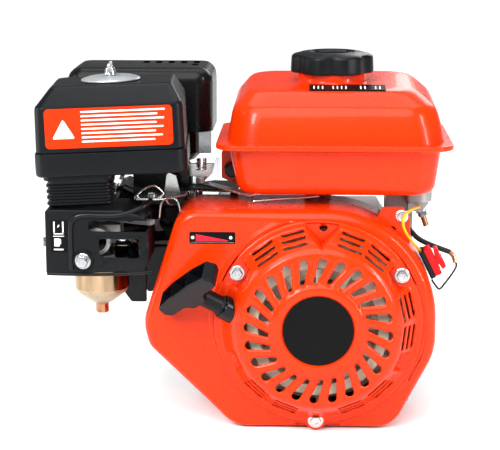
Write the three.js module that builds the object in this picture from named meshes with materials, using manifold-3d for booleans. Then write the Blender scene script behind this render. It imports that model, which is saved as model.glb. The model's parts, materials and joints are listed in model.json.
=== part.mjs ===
// Small air-cooled petrol engine, in millimetres, +Z up.
// The crankshaft lies along Y: the recoil starter faces -Y and the output shaft points to +Y.
// The cylinder leans towards -X. The origin is on the foot plane, straight below the crankshaft.
import * as THREE from "three";
import { mergeVertices } from "three/addons/utils/BufferGeometryUtils.js";
import Module from "manifold-3d";

const wasm = await Module();
wasm.setup();

// Driving dimensions
const BORE = 70;
const STROKE = 54;
const ROD_LENGTH = 84; // between the centres of its two eyes
const WRIST_PIN = 18;
const CRANK_HEIGHT = 106; // crankshaft axis above the foot plane
const CYLINDER_RISE = 25; // degrees above level
const DECK = 131; // crankshaft axis to the head joint, along the cylinder
const GAP = 0.3; // between pieces that touch
const FOOT_HOLES = [162, 75.5]; // spacing across and along the crankshaft
const SHAFT_RADIUS = 10;
const SHAFT_END = 137;
const OUTPUT_FACE = 75;
const BOLT_CIRCLE = 92.1; // of the tapped holes round the output shaft
const COVER_FRONT = -135;
const COVER_BACK = -50.5;
const STARTER_FRONT = -172;
const STARTER_RADIUS = 97;
const TANK_JOINT = 269; // height of the seam between the tank's two pressings
const CAP_TOP = 351;
const CAM_OFFSET = 54; // camshaft below the cylinder axis
const CAM_DISTANCE = 58; // crankshaft axis to camshaft axis
const CAM_TEETH = 30;
const VALVE_SIDE = 16; // each valve's distance from the cylinder's middle plane
const PULL = new THREE.Vector3(-0.8065, -0.309, 0.504).normalize();
const GRIP_ALONG = new THREE.Vector3(0.583, -0.559, 0.59).normalize();
const GRIP_CENTRE = new THREE.Vector3(-120, -168.5, 144.5);
const GRIP_LENGTH = 82;

const RAD = Math.PI / 180;
const CAM_ALONG = Math.sqrt(CAM_DISTANCE ** 2 - CAM_OFFSET ** 2);
const CRANK_THROW = STROKE / 2;
const PIN_AT_TOP = CRANK_THROW + ROD_LENGTH; // wrist pin at top dead centre
const CYLINDER_TURN = (CYLINDER_RISE - 90) * RAD; // about Y: takes +Z to the cylinder's direction

// Materials
const finish = (color, roughness, metalness) =>
  new THREE.MeshStandardMaterial({ color, roughness, metalness });
const paint = finish(0xff4d12, 0.28, 0.1);
const castAluminium = finish(0xa9a9a6, 0.6, 0.8);
const castIron = finish(0x5c5a58, 0.7, 0.7);
const steel = finish(0xb8bac0, 0.35, 0.9);
const zinc = finish(0xd8dade, 0.2, 1);
const passivated = finish(0xc99a4a, 0.3, 0.9);
const blackPlastic = finish(0x17181a, 0.45, 0);
const blackSteel = finish(0x141416, 0.4, 0.4);
const beigePlastic = finish(0xb7ab97, 0.6, 0);
const foam = finish(0x3a3a3a, 0.95, 0);
const porcelain = finish(0xf2f0ea, 0.25, 0);
const redPlastic = finish(0xd41216, 0.4, 0);
const yellowWire = finish(0xe8b40a, 0.5, 0);
const blackRubber = finish(0x101011, 0.8, 0);

// ---- Solids: every shape is a closed geometry ----

// A closed geometry as a manifold-3d solid, with its faces turned outwards.
function solid(geometry) {
  const bare = new THREE.BufferGeometry();
  const source = geometry.index ? geometry.toNonIndexed() : geometry;
  bare.setAttribute("position", source.getAttribute("position"));
  const merged = mergeVertices(bare, 1e-3);
  const faces = [];
  for (let i = 0; i < merged.index.count; i += 3) {
    const face = [0, 1, 2].map((k) => merged.index.getX(i + k));
    if (new Set(face).size === 3) faces.push(face);
  }
  const make = (list) => {
    const triVerts = Uint32Array.from(list.flat());
    const vertProperties = merged.attributes.position.array;
    return new wasm.Manifold(new wasm.Mesh({ numProp: 3, vertProperties, triVerts }));
  };
  const made = make(faces);
  return made.volume() > 0 ? made : make(faces.map(([a, b, c]) => [a, c, b]));
}

function geometryOf(made) {
  const { vertProperties, triVerts } = made.getMesh();
  const geometry = new THREE.BufferGeometry();
  geometry.setAttribute("position", new THREE.BufferAttribute(vertProperties, 3));
  return geometry.setIndex(new THREE.BufferAttribute(triVerts, 1));
}

const join = (first, ...rest) => geometryOf(rest.reduce((made, g) => made.add(solid(g)), solid(first)));
const cut = (body, ...tools) => geometryOf(tools.reduce((made, g) => made.subtract(solid(g)), solid(body)));

// A box from its lowest to its highest corner.
function block([x0, y0, z0], [x1, y1, z1]) {
  const box = new THREE.BoxGeometry(x1 - x0, y1 - y0, z1 - z0);
  return box.translate((x0 + x1) / 2, (y0 + y1) / 2, (z0 + z1) / 2);
}

// A round bar between two points.
function rod(from, to, radius, sides = 16, endRadius = radius) {
  const a = new THREE.Vector3(...from);
  const b = new THREE.Vector3(...to);
  const along = b.clone().sub(a);
  const up = new THREE.Vector3(0, 1, 0);
  const turn = new THREE.Quaternion().setFromUnitVectors(up, along.clone().normalize());
  const bar = new THREE.CylinderGeometry(endRadius, radius, along.length(), sides).applyQuaternion(turn);
  return bar.translate(...a.add(b).multiplyScalar(0.5));
}

// A profile of [radius, y] turned about the Y axis; it starts and ends on the axis or closes on itself.
function turned(profile, sides = 24) {
  return new THREE.LatheGeometry(profile.map(([r, y]) => new THREE.Vector2(r, y)), sides);
}

// The same about the Z axis, for a profile of [radius, z].
const turnedUp = (profile, sides = 24) => turned(profile, sides).rotateX(Math.PI / 2);

// A ring about Y between two radii.
function ring(outer, inner, y0, y1, sides = 20) {
  return turned([[inner, y0], [outer, y0], [outer, y1], [inner, y1], [inner, y0]], sides);
}

// A closed outline from [x, y, fillet radius] corners, anticlockwise.
function outline(corners) {
  const shape = new THREE.Shape();
  corners.forEach(([x, y, radius = 0], i) => {
    const corner = new THREE.Vector2(x, y);
    const goTo = (point) => shape[i === 0 ? "moveTo" : "lineTo"](point.x, point.y);
    if (!radius) {
      goTo(corner);
      return;
    }
    const [before, after] = [corners.at(i - 1), corners[(i + 1) % corners.length]]
      .map(([px, py]) => new THREE.Vector2(px, py).sub(corner).normalize());
    const half = Math.acos(before.dot(after)) / 2;
    const start = before.clone().multiplyScalar(radius / Math.tan(half)).add(corner);
    const end = after.clone().multiplyScalar(radius / Math.tan(half)).add(corner);
    const centre = before.clone().add(after).normalize().multiplyScalar(radius / Math.sin(half)).add(corner);
    goTo(start);
    const clockwise = before.cross(after) > 0;
    const angle = (point) => point.clone().sub(centre).angle();
    shape.absarc(centre.x, centre.y, radius, angle(start), angle(end), clockwise);
  });
  return shape;
}

// The corners moved inwards by a distance, fillets shrunk to suit.
function inset(corners, distance) {
  return corners.map(([x, y, radius = 0], i) => {
    const corner = new THREE.Vector2(x, y);
    const [before, after] = [corners.at(i - 1), corners[(i + 1) % corners.length]]
      .map(([px, py]) => new THREE.Vector2(px, py).sub(corner).normalize());
    const half = Math.acos(before.dot(after)) / 2;
    const inwards = before.cross(after) < 0 ? 1 : -1;
    corner.addScaledVector(before.add(after).normalize(), inwards * distance / Math.sin(half));
    return [corner.x, corner.y, radius ? Math.max(radius - inwards * distance, 0.5) : 0];
  });
}

// An upright plate: an XZ outline from y0 to y1, its edges rounded by bevel.
function plate(corners, y0, y1, { bevel = 0, steps = 1, arcs = 2 } = {}) {
  return extruded(corners, y1 - y0, bevel, steps, arcs).rotateX(Math.PI / 2).translate(0, y1, 0);
}

// A level slab: an XY outline from z0 to z1.
function slab(corners, z0, z1, { bevel = 0, steps = 1, arcs = 2 } = {}) {
  return extruded(corners, z1 - z0, bevel, steps, arcs).translate(0, 0, z0);
}

function extruded(corners, height, bevel, bevelSegments, curveSegments) {
  const edge = { bevelEnabled: bevel > 0, bevelThickness: bevel, bevelSize: bevel, bevelOffset: -bevel };
  const settings = { depth: height - 2 * bevel, bevelSegments, curveSegments, ...edge };
  return new THREE.ExtrudeGeometry(outline(corners), settings).translate(0, 0, bevel);
}

// A rectangle centred on (x, y), as corners for an outline.
function rectangle(x, y, width, depth, radius = 0) {
  const [w, d] = [width / 2, depth / 2];
  return [[x - w, y - d, radius], [x + w, y - d, radius], [x + w, y + d, radius], [x - w, y + d, radius]];
}

// A cable of the given radius through the points.
function cable(points, radius, steps, sides = 8) {
  const path = new THREE.CatmullRomCurve3(points.map((p) => new THREE.Vector3(...p)));
  const section = new THREE.Shape().absarc(0, 0, radius, 0, 2 * Math.PI);
  return new THREE.ExtrudeGeometry(section, { steps, extrudePath: path, curveSegments: sides / 2 });
}

// A spur gear about Y with straight-sided teeth, one of them centred on the angle `facing`.
function gear(teeth, pitchRadius, bore, y0, y1, facing) {
  const [root, tip] = [pitchRadius - 2.3, pitchRadius + 1.6];
  const pitch = 2 * Math.PI / teeth;
  const corners = [];
  for (let i = 0; i < teeth; i++) {
    for (const [radius, share] of [[root, -0.29], [tip, -0.13], [tip, 0.13], [root, 0.29]]) {
      const angle = facing + (i + share) * pitch;
      corners.push([radius * Math.cos(angle), radius * Math.sin(angle)]);
    }
  }
  return cut(plate(corners, y0, y1), rod([0, y0 - 1, 0], [0, y1 + 1, 0], bore));
}

// ---- The part: nested groups place the named meshes ----

const engine = new THREE.Group();
const crankLine = new THREE.Group(); // origin on the crankshaft axis
crankLine.position.z = CRANK_HEIGHT;
const cylinderLine = new THREE.Group(); // origin on the crankshaft axis, +Z along the cylinder
cylinderLine.position.z = CRANK_HEIGHT;
cylinderLine.rotation.y = CYLINDER_TURN;
engine.add(crankLine, cylinderLine);

function piece(group, name, geometry, material) {
  const shown = geometryOf(solid(geometry)).toNonIndexed();
  shown.computeVertexNormals();
  const mesh = new THREE.Mesh(shown, material);
  mesh.name = name;
  group.add(mesh);
  return mesh;
}

// ---- Crankcase, cylinder and output side ----

const caseOutline = [
  [-72, -96], [60, -96], [76, -60], [76, 60], [60, 84], [-30, 84], [-66, 60], [-92, 0], [-92, -56],
];
const camPlace = [-CAM_OFFSET, CAM_ALONG]; // in the cylinder's frame
const cylinderTilt = new THREE.Euler(0, CYLINDER_TURN, 0);
const camCentre = new THREE.Vector3(camPlace[0], 0, camPlace[1]).applyEuler(cylinderTilt);
const FINS = 4;

function crankcase() {
  const foot = slab(rectangle(0, 0, 184, 100, 10), -CRANK_HEIGHT, -96 + GAP);
  const walls = plate(caseOutline, -62, 50);
  const barrel = block([-44, -44, 40], [44, 44, DECK]).rotateY(CYLINDER_TURN);
  const tunnel = block([-62, -25, 30], [-40, 25, DECK]).rotateY(CYLINDER_TURN);
  const fins = Array.from({ length: FINS + 1 }, (_, i) => {
    const z = 67 + i * (DECK - 4 - 67) / FINS;
    return block([-64, -44, z], [50, 44, z + 4]).rotateY(CYLINDER_TURN);
  });
  const bearingBoss = rod([0, -62, 0], [0, -46, 0], 33, 24);
  const camBoss = rod([camCentre.x, -56, camCentre.z], [camCentre.x, -46, camCentre.z], 13, 12);
  const pillars = [[-14, 12], [66, 92]].map(([x0, x1]) => block([x0, -45, 50], [x1, 5, 112.5]));
  const governorLug = block([-92, -44.8, 34], [-70, -30, 50]);
  const chamber = plate(inset(caseOutline, 7), -55, 51);
  const bore = rod([0, 0, -5], [0, 0, DECK + 1], BORE / 2, 28).rotateY(CYLINDER_TURN);
  const pushrodWay = block([-58, -22, 20], [-49, 22, DECK + 1]).rotateY(CYLINDER_TURN);
  const bearingSeat = rod([0, -63, 0], [0, -45, 0], 26 + GAP, 24);
  const camSeat = rod([camCentre.x, -59, camCentre.z], [camCentre.x, -45, camCentre.z], 7 + GAP, 12);
  const [dx, dy] = FOOT_HOLES.map((d) => d / 2);
  const holes = [[dx, dy], [-dx, dy], [dx, -dy], [-dx, -dy]].map(([x, y]) =>
    rod([x, y, -CRANK_HEIGHT - 1], [x, y, -90], 4.5, 10));
  const hollow = cut(join(foot, walls, barrel, tunnel, ...fins, governorLug, ...pillars), chamber);
  return cut(join(hollow, bearingBoss, camBoss), bore, pushrodWay, bearingSeat, camSeat, ...holes);
}

const OIL_FILLER = [48, -70];

function sideCover() {
  const y0 = 50 + GAP;
  const skin = plate(caseOutline, y0, y0 + 7, { arcs: 1 });
  const boss = rod([0, y0, 0], [0, OUTPUT_FACE, 0], 34, 24);
  const pads = [45, 135, 225, 315].map((a) => {
    const [x, z] = [Math.cos(a * RAD) * BOLT_CIRCLE / 2, Math.sin(a * RAD) * BOLT_CIRCLE / 2];
    return rod([x, y0, z], [x, OUTPUT_FACE, z], 10, 12);
  });
  const camBoss = rod([camCentre.x, 44, camCentre.z], [camCentre.x, y0 + 1, camCentre.z], 13, 12);
  const neck = rod([OIL_FILLER[0], y0, OIL_FILLER[1]], [OIL_FILLER[0], 66, OIL_FILLER[1]], 13, 14);
  return cut(
    join(skin, boss, ...pads, camBoss, neck),
    rod([0, 44, 0], [0, 67, 0], 26 + GAP, 24),
    rod([0, 60, 0], [0, 80, 0], SHAFT_RADIUS + 0.5, 20),
    rod([camCentre.x, 43, camCentre.z], [camCentre.x, 55, camCentre.z], 7 + GAP, 12),
    rod([OIL_FILLER[0], 40, OIL_FILLER[1]], [OIL_FILLER[0], 70, OIL_FILLER[1]], 9, 14),
  );
}

function dipstick() {
  const [x, z] = OIL_FILLER;
  const flange = rod([x, 66 + GAP, z], [x, 70, z], 13, 14);
  const grip = block([x - 11, 69, z - 2.5], [x + 11, 80, z + 2.5]);
  const blade = block([x - 3, 12, z - 1], [x + 3, 55, z + 1]);
  return join(flange, grip, rod([x, 54, z], [x, 67, z], 8.4, 14), blade);
}

piece(crankLine, "crankcase", crankcase(), castAluminium);
piece(crankLine, "side_cover", sideCover(), castAluminium);
piece(crankLine, "oil_dipstick", dipstick(), blackPlastic);
piece(crankLine, "bearing_flywheel_side", ring(26, 12.8, -61, -47), steel);
piece(crankLine, "bearing_output_side", ring(26, 12.8, 51, 65), steel);

// ---- Crankshaft, piston and camshaft ----

const webOutline = [
  [14, 39], [-14, 39], [-22, 8], [-40, -12], [-25, -33], [0, -40], [25, -33], [40, -12], [22, 8],
];

function crankEnd(side, profile) {
  const [near, far] = [side * (12 + GAP), side * 26];
  const web = plate(webOutline, Math.min(near, far), Math.max(near, far));
  return join(web, turned([[0, far - side], ...profile, [0, profile.at(-1)[1]]], 20));
}

piece(cylinderLine, "crankshaft_flywheel_end", crankEnd(-1, [
  [12.5, -25], [12.5, -62], [11, -62], [11, -70], [9.5, -72], [7.5, -108], [7, -108], [7, -124],
]), steel);
const keyway = block([-3, 95, 7], [3, SHAFT_END + 1, SHAFT_RADIUS + 1]);
piece(cylinderLine, "crankshaft_output_end", cut(crankEnd(1, [
  [12.5, 25], [12.5, 66], [SHAFT_RADIUS, 66], [SHAFT_RADIUS, SHAFT_END - 1], [SHAFT_RADIUS - 1, SHAFT_END],
]), keyway), steel);
piece(cylinderLine, "crankpin", rod([0, -12, CRANK_THROW], [0, 12, CRANK_THROW], 12, 20), steel);

function connectingRod() {
  const bigEnd = rod([0, -10, CRANK_THROW], [0, 10, CRANK_THROW], 18, 24);
  const smallEnd = rod([0, -9, PIN_AT_TOP], [0, 9, PIN_AT_TOP], 13, 20);
  const beam = block([-6, -5, CRANK_THROW + 14], [6, 5, PIN_AT_TOP - 10]);
  return cut(
    join(bigEnd, smallEnd, beam),
    rod([0, -11, CRANK_THROW], [0, 11, CRANK_THROW], 12 + GAP, 20),
    rod([0, -11, PIN_AT_TOP], [0, 11, PIN_AT_TOP], WRIST_PIN / 2 + GAP, 20),
  );
}

function piston() {
  const crown = DECK - 0.5;
  const radius = BORE / 2 - 0.4;
  const body = turnedUp([[0, 98], [radius, 98], [radius, crown - 1], [radius - 1, crown], [0, crown]], 28);
  const hollow = rod([0, 0, 97], [0, 0, 125], 29, 20);
  const bosses = [-1, 1].map((s) => rod([0, 11 * s, PIN_AT_TOP], [0, 31 * s, PIN_AT_TOP], 13, 16));
  const pinHole = rod([0, -40, PIN_AT_TOP], [0, 40, PIN_AT_TOP], WRIST_PIN / 2 + GAP, 20);
  return cut(join(cut(body, hollow), ...bosses), pinHole, block([-20, -40, 90], [20, -34, 98.5]));
}

piece(cylinderLine, "connecting_rod", connectingRod(), castAluminium);
piece(cylinderLine, "piston", piston(), castAluminium);
piece(cylinderLine, "wrist_pin", rod([0, -29, PIN_AT_TOP], [0, 29, PIN_AT_TOP], WRIST_PIN / 2, 20), steel);

const gearFacing = Math.atan2(camPlace[1], camPlace[0]);
const camGearFacing = gearFacing + Math.PI + Math.PI / CAM_TEETH;
const crankGear = gear(CAM_TEETH / 2, CAM_DISTANCE / 3, 12.5 + GAP, 28.3, 38, gearFacing);
piece(cylinderLine, "timing_gear", crankGear, steel);

// A cam lobe about Y: a base circle with a nose pointing at an angle.
function lobe(noseAngle, y) {
  const corners = Array.from({ length: 14 }, (_, i) => {
    const angle = i * Math.PI / 7;
    const radius = 10 + 4.5 * Math.max(0, Math.cos(angle - noseAngle)) ** 3;
    return [radius * Math.cos(angle), radius * Math.sin(angle)];
  });
  return plate(corners, y - 5, y + 5);
}

function camshaft() {
  const wheel = gear(CAM_TEETH, CAM_DISTANCE * 2 / 3, 6, 28.3, 38, camGearFacing);
  const shaft = rod([0, -58, 0], [0, 54, 0], 7, 16);
  return join(shaft, wheel, lobe(-60 * RAD, -VALVE_SIDE), lobe(-130 * RAD, VALVE_SIDE));
}

const cam = piece(cylinderLine, "camshaft", camshaft(), castIron);
cam.position.set(camPlace[0], 0, camPlace[1]);

// ---- Cylinder head and valves ----

const VALVE_AT = 6; // valve stems, across the cylinder
const ROCKER_AT = -24; // rocker posts
const PORT_AT = 165; // height of the ports along the cylinder
const CHAMBER_ROOF = 140;
const HEAD_TOP = 186;

// The spark plug leans away from the cylinder.
const plugBase = new THREE.Vector3(24, 0, 155);
const plugLean = new THREE.Vector3(Math.cos(35 * RAD), 0, Math.sin(35 * RAD));
const alongPlug = (distance) => plugBase.clone().addScaledVector(plugLean, distance).toArray();

function cylinderHead() {
  const core = block([-64, -44, DECK + GAP], [18, 44, HEAD_TOP]);
  const finPlates = [0, 1, 2].map((i) => {
    const z = DECK + GAP + 8 + i * 16;
    return block([0, -46, z], [26, 46, z + 3]);
  });
  const plugBoss = block([4, -13, 138], [24, 13, 172]);
  const posts = [-1, 1].map((s) =>
    rod([ROCKER_AT, s * VALVE_SIDE, HEAD_TOP - 1], [ROCKER_AT, s * VALVE_SIDE, 212], 4, 12));
  const ways = [-1, 1].flatMap((s) => [
    rod([VALVE_AT, s * VALVE_SIDE, CHAMBER_ROOF - 1], [VALVE_AT, s * VALVE_SIDE, PORT_AT], 10, 14),
    rod([VALVE_AT, s * VALVE_SIDE, PORT_AT], [VALVE_AT, s * 48, PORT_AT], 10, 14),
    rod([VALVE_AT, s * VALVE_SIDE, PORT_AT], [VALVE_AT, s * VALVE_SIDE, HEAD_TOP + 2], 3.2, 10),
  ]);
  const chamber = rod([0, 0, DECK - 1], [0, 0, CHAMBER_ROOF], 33, 28);
  const pushrodWay = block([-59, -22, DECK - 1], [-49, 22, HEAD_TOP + 1]);
  const plugHole = rod(alongPlug(-28), alongPlug(6), 5, 10);
  return cut(join(core, ...finPlates, plugBoss, ...posts), chamber, ...ways, pushrodWay, plugHole);
}

function valve(side) {
  const [x, y] = [VALVE_AT, side * VALVE_SIDE];
  const disc = rod([x, y, 137], [x, y, CHAMBER_ROOF - GAP], 12.2, 18);
  return join(disc, rod([x, y, 139], [x, y, 198.2], 2.8, 8));
}

function pushrod(side) {
  const [x, y] = [-CAM_OFFSET, side * VALVE_SIDE];
  const tappet = rod([x, y, CAM_ALONG + 15], [x, y, CAM_ALONG + 18], 4.2, 14);
  const shaft = rod([x, y, CAM_ALONG + 17], [x, y, 195], 3, 10);
  const tip = rod([x, y, 194.9], [x, y, 198.2], 3, 10, 1.5);
  return join(tappet, shaft, tip);
}

function rocker(side) {
  const y = side * VALVE_SIDE;
  const arm = block([-58, y - 5.5, 199], [10, y + 5.5, 206]);
  return cut(arm, rod([ROCKER_AT, y, 195], [ROCKER_AT, y, 210], 5.2, 12));
}

function rockerCover() {
  const shell = slab(rectangle(-24, 0, 84, 70, 10), HEAD_TOP + GAP, 226, { bevel: 5, arcs: 2 });
  return cut(shell, slab(rectangle(-24, 0, 78, 64, 7), 180, 223, { arcs: 2 }));
}

piece(cylinderLine, "cylinder_head", cylinderHead(), castAluminium);
piece(cylinderLine, "rocker_cover", rockerCover(), blackSteel);
for (const [name, side] of [["intake", -1], ["exhaust", 1]]) {
  piece(cylinderLine, name + "_valve", valve(side), steel);
  piece(cylinderLine, name + "_pushrod", pushrod(side), steel);
  piece(cylinderLine, name + "_rocker", rocker(side), steel);
}

function sparkPlug() {
  return join(
    rod(alongPlug(-20), alongPlug(10), 4.6, 10),
    rod(alongPlug(9), alongPlug(15), 10, 6),
    rod(alongPlug(14), alongPlug(29), 6, 12),
    rod(alongPlug(28), alongPlug(34), 3, 8),
  );
}

piece(cylinderLine, "spark_plug", sparkPlug(), porcelain);

// ---- Flywheel, fan and starter cup ----

function flywheel() {
  const rim = [[9.8, -73], [24, -73], [24, -80], [66, -84], [66, -73], [84, -73], [84, -104.7], [8, -104.7]];
  return turned([...rim, rim[0]], 28);
}

function coolingFan() {
  const disc = ring(84, 36, -108, -105, 28);
  const blades = Array.from({ length: 12 }, (_, i) =>
    block([50, -127, -1.5], [82, -107, 1.5]).rotateY(i * Math.PI / 6));
  return join(disc, ...blades);
}

const starterCup = turned([
  [8, -105], [34, -105], [34, -135], [31.5, -135], [31.5, -107.5], [8, -107.5], [8, -105],
]);
piece(crankLine, "flywheel", flywheel(), castIron);
piece(crankLine, "cooling_fan", coolingFan(), beigePlastic);
piece(crankLine, "starter_cup", starterCup, steel);
const nutHex = rod([0, -118, 0], [0, -108.4, 0], 11, 6);
piece(crankLine, "flywheel_nut", cut(nutHex, rod([0, -120, 0], [0, -100, 0], 7 + GAP, 12)), steel);

// ---- Blower housing, recoil starter and its handle ----

const coverOutline = [
  [111, 105, 104], [-131, 105, 22], [-166, -4, 40], [-160, -27, 18],
  [-80, -105, 30], [72, -105, 28], [111, -31, 60],
];

function fanCover() {
  const outer = plate(coverOutline, COVER_FRONT, COVER_BACK + 14, { bevel: 12, arcs: 3 });
  const inner = plate(inset(coverOutline, 3), COVER_FRONT + 3, COVER_BACK + 14, { bevel: 11, arcs: 3 });
  const back = block([-200, COVER_BACK, -130], [200, 0, 130]);
  const intake = rod([0, COVER_FRONT - 2, 0], [0, COVER_FRONT + 8, 0], 86, 32);
  const leadWay = block([-180, -64, 57], [-118, -40, 101.5]);
  return cut(outer, inner, back, intake, leadWay);
}

const starterBolts = [[-75.6, 47.2], [77.3, 46.1], [-1.6, -95.1]];
const SLOTS = 24;

function starterHousing() {
  const back = COVER_FRONT - GAP;
  const skin = turned([
    [0, STARTER_FRONT], [40, STARTER_FRONT], [43, -168], [70, -165], [89, -145], [STARTER_RADIUS, -141],
    [STARTER_RADIUS, back], [93, back], [86, -142], [68, -162], [0, -165],
  ], 32);
  const lugs = starterBolts.map(([x, z]) => rod([x, back, z], [x, -140.5, z], 10, 12));
  const spindle = rod([0, -166, 0], [0, -144, 0], 7, 14);
  const slots = Array.from({ length: SLOTS }, (_, i) => slot().rotateY(i * 2 * Math.PI / SLOTS));
  const guideHole = rod(alongPull(-20), alongPull(-75), 12, 16);
  return cut(join(skin, spindle, ...lugs), ...slots, guideHole);
}

// One air slot: a leaning tear drop, wide at its outer end.
function slot() {
  const corners = [[-1.5, 46], [1.5, 46], [5, 62], [0.5, 67], [-4, 62]];
  return plate(corners, -175, -155).rotateY(-8 * RAD);
}

const gripCentre = GRIP_CENTRE.clone().sub(crankLine.position);
const alongPull = (distance) => gripCentre.clone().addScaledVector(PULL, distance).toArray();

function ropeGuide() {
  return cut(rod(alongPull(-38), alongPull(-54), 11.5, 16), rod(alongPull(-36), alongPull(-56), 3.5, 10));
}

// A T grip: a bar across the pull direction, hollow on its outer side, on a round stem.
function starterHandle() {
  const across = GRIP_ALONG.clone().cross(PULL).normalize();
  const frame = new THREE.Matrix4().makeBasis(GRIP_ALONG, across, PULL).setPosition(gripCentre);
  const w = GRIP_LENGTH / 2;
  const bar = plate([[-w, -3], [-w + 9, -11], [w - 9, -11], [w, -3], [w - 4, 11], [-w + 4, 11]], -10.5, 10.5);
  const pockets = [-1, 0, 1].map((i) => block([i * 24 - 10.5, -7.5, -6], [i * 24 + 10.5, 7.5, 12]));
  const grip = cut(bar, ...pockets).applyMatrix4(frame);
  return join(grip, rod(alongPull(-9), alongPull(-37), 9, 16));
}

// The rope from the reel's groove through the guide.
function starterRope() {
  const wound = [[-64, -151, -7], [-59.5, -150.9, -22], [-50, -150.8, -39.4]];
  return cable([alongPull(-40), alongPull(-52), ...wound], 2.2, 8);
}

// The rope's reel: a grooved rim on spokes, so that air passes between them.
const REEL_SPOKES = 12;
function starterReel() {
  const rim = turned([
    [56, -157], [66, -157], [66, -154.3], [60, -153.6], [60, -148.2],
    [66, -147.4], [66, -144.5], [56, -144.5], [56, -157],
  ], 36);
  const hub = rod([0, -157, 0], [0, -144.5, 0], 16, 20);
  const spokes = Array.from({ length: REEL_SPOKES }, (_, i) =>
    block([14, -154, -2.5], [58, -146, 2.5]).rotateY(i * 2 * Math.PI / REEL_SPOKES));
  return cut(join(rim, hub, ...spokes), rod([0, -158, 0], [0, -143, 0], 7.4, 14));
}

piece(crankLine, "fan_cover", fanCover(), paint);
piece(crankLine, "starter_housing", starterHousing(), paint);
piece(crankLine, "rope_guide", ropeGuide(), blackPlastic);
piece(crankLine, "starter_handle", starterHandle(), blackPlastic);
piece(crankLine, "starter_reel", starterReel(), beigePlastic);
piece(crankLine, "starter_rope", starterRope(), foam);

// ---- Ignition coil and lead ----

const ignitionCoil = join(block([-58, -98, 85.5], [-12, -84, 93]), block([-46, -103, 92], [-24, -79, 100.5]));
piece(crankLine, "ignition_coil", ignitionCoil, castIron);

function ignitionLead() {
  const toCrank = (p) => new THREE.Vector3(...p).applyEuler(new THREE.Euler(0, CYLINDER_TURN, 0)).toArray();
  const cap = cut(
    rod(toCrank(alongPlug(21)), toCrank(alongPlug(44)), 9, 14),
    rod(toCrank(alongPlug(19)), toCrank(alongPlug(36)), 6.8, 12),
  );
  const top = toCrank(alongPlug(40));
  const points = [
    top, [-142, -20, 116], [-138, -38, 100], [-121, -54, 95.5], [-104, -57, 93],
    [-80, -72, 96], [-62, -90, 96.3], [-47, -91, 96.3],
  ];
  return join(cap, cable(points, 3.2, 16, 6));
}
piece(crankLine, "ignition_lead", ignitionLead(), blackRubber);

// ---- Fuel tank and cap ----

const tankBody = rectangle(14.5, -43, 201, 150, 32);
const TANK_FLOOR = 221;
const TANK_TOP = 325;
const TANK_WALL = 2.5;
const CAP_CENTRE = [12, -40];

function tankUpper() {
  const low = TANK_JOINT + GAP;
  const dome = slab(tankBody, low - 30, TANK_TOP, { bevel: 26, steps: 2 });
  const inside = slab(inset(tankBody, TANK_WALL), low - 40, TANK_TOP - TANK_WALL, { bevel: 25 });
  const [x, y] = CAP_CENTRE;
  const neck = rod([x, y, 318], [x, y, 329], 34, 24);
  const mouth = rod([x, y, 310], [x, y, 335], 30, 24);
  const flange = slab(tankFlange, low, low + 2);
  const below = block([-200, -200, 200], [200, 200, low]);
  const rim = cut(flange, slab(inset(tankBody, TANK_WALL), low - 9, low + 11));
  return cut(join(cut(dome, inside), rim, neck), mouth, below);
}

const tankFlange = [
  [-97, -132, 22], [125, -132, 22], [125, 26], [108, 41], [-80, 41], [-97, 26],
];

function tankLower() {
  const body = slab(tankBody, TANK_FLOOR, TANK_JOINT + 30, { bevel: 16 });
  const inside = slab(inset(tankBody, TANK_WALL), TANK_FLOOR + TANK_WALL, TANK_JOINT + 40, { bevel: 15 });
  const flange = slab(tankFlange, TANK_JOINT - 5, TANK_JOINT);
  return cut(join(body, flange), inside, block([-200, -200, TANK_JOINT], [200, 200, 330]));
}

function fuelCap() {
  const lobes = Array.from({ length: 36 }, (_, i) => {
    const angle = i * 10 * RAD;
    const radius = 38.7 + 1.3 * Math.cos(12 * angle);
    return [radius * Math.cos(angle), radius * Math.sin(angle)];
  });
  const rim = cut(slab(lobes, 329 - 3, CAP_TOP, { bevel: 3 }), rod([0, 0, 320], [0, 0, 334], 34.5, 24));
  return join(rim, rod([0, 0, 316], [0, 0, 336], 29, 24));
}

piece(engine, "fuel_tank_upper", tankUpper(), paint);
piece(engine, "fuel_tank_lower", tankLower(), paint);
piece(engine, "fuel_cap", fuelCap(), blackPlastic).position.set(...CAP_CENTRE, 0);

// ---- Air cleaner: its box stands a little turned and tilted on the carburettor ----

const airCleaner = new THREE.Group();
airCleaner.position.set(-194, -90, 245.3);
airCleaner.rotation.set(0, -2.2 * RAD, 3 * RAD);
engine.add(airCleaner);
const FILTER_BAND = 22.5;
const CLEANER_TOP = 82;
const cleanerBox = rectangle(0, 0, 138, 117, 23);

function cleanerCase() {
  const band = slab(rectangle(0, 0, 142, 121, 18), 0, FILTER_BAND);
  const tray = cut(band, slab(rectangle(0, 0, 135, 114, 15), 3, 40));
  const duct = slab(rectangle(-31, -30, 62, 44, 8), -29, 1);
  const passage = slab(rectangle(-31, -30, 54, 36, 5), -35, 10);
  const stud = rod([0, 0, 2], [0, 0, 97], 3, 10);
  return join(cut(join(tray, duct), passage), stud);
}

function cleanerCover() {
  const low = FILTER_BAND + GAP;
  const outer = slab(cleanerBox, low - 20, CLEANER_TOP, { bevel: 16, steps: 1 });
  const inner = slab(inset(cleanerBox, 2.5), low - 30, CLEANER_TOP - 2.5, { bevel: 15, steps: 1 });
  return cut(outer, inner, block([-90, -90, -40], [90, 90, low]), rod([0, 0, 70], [0, 0, 90], 3.6, 10));
}

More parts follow.
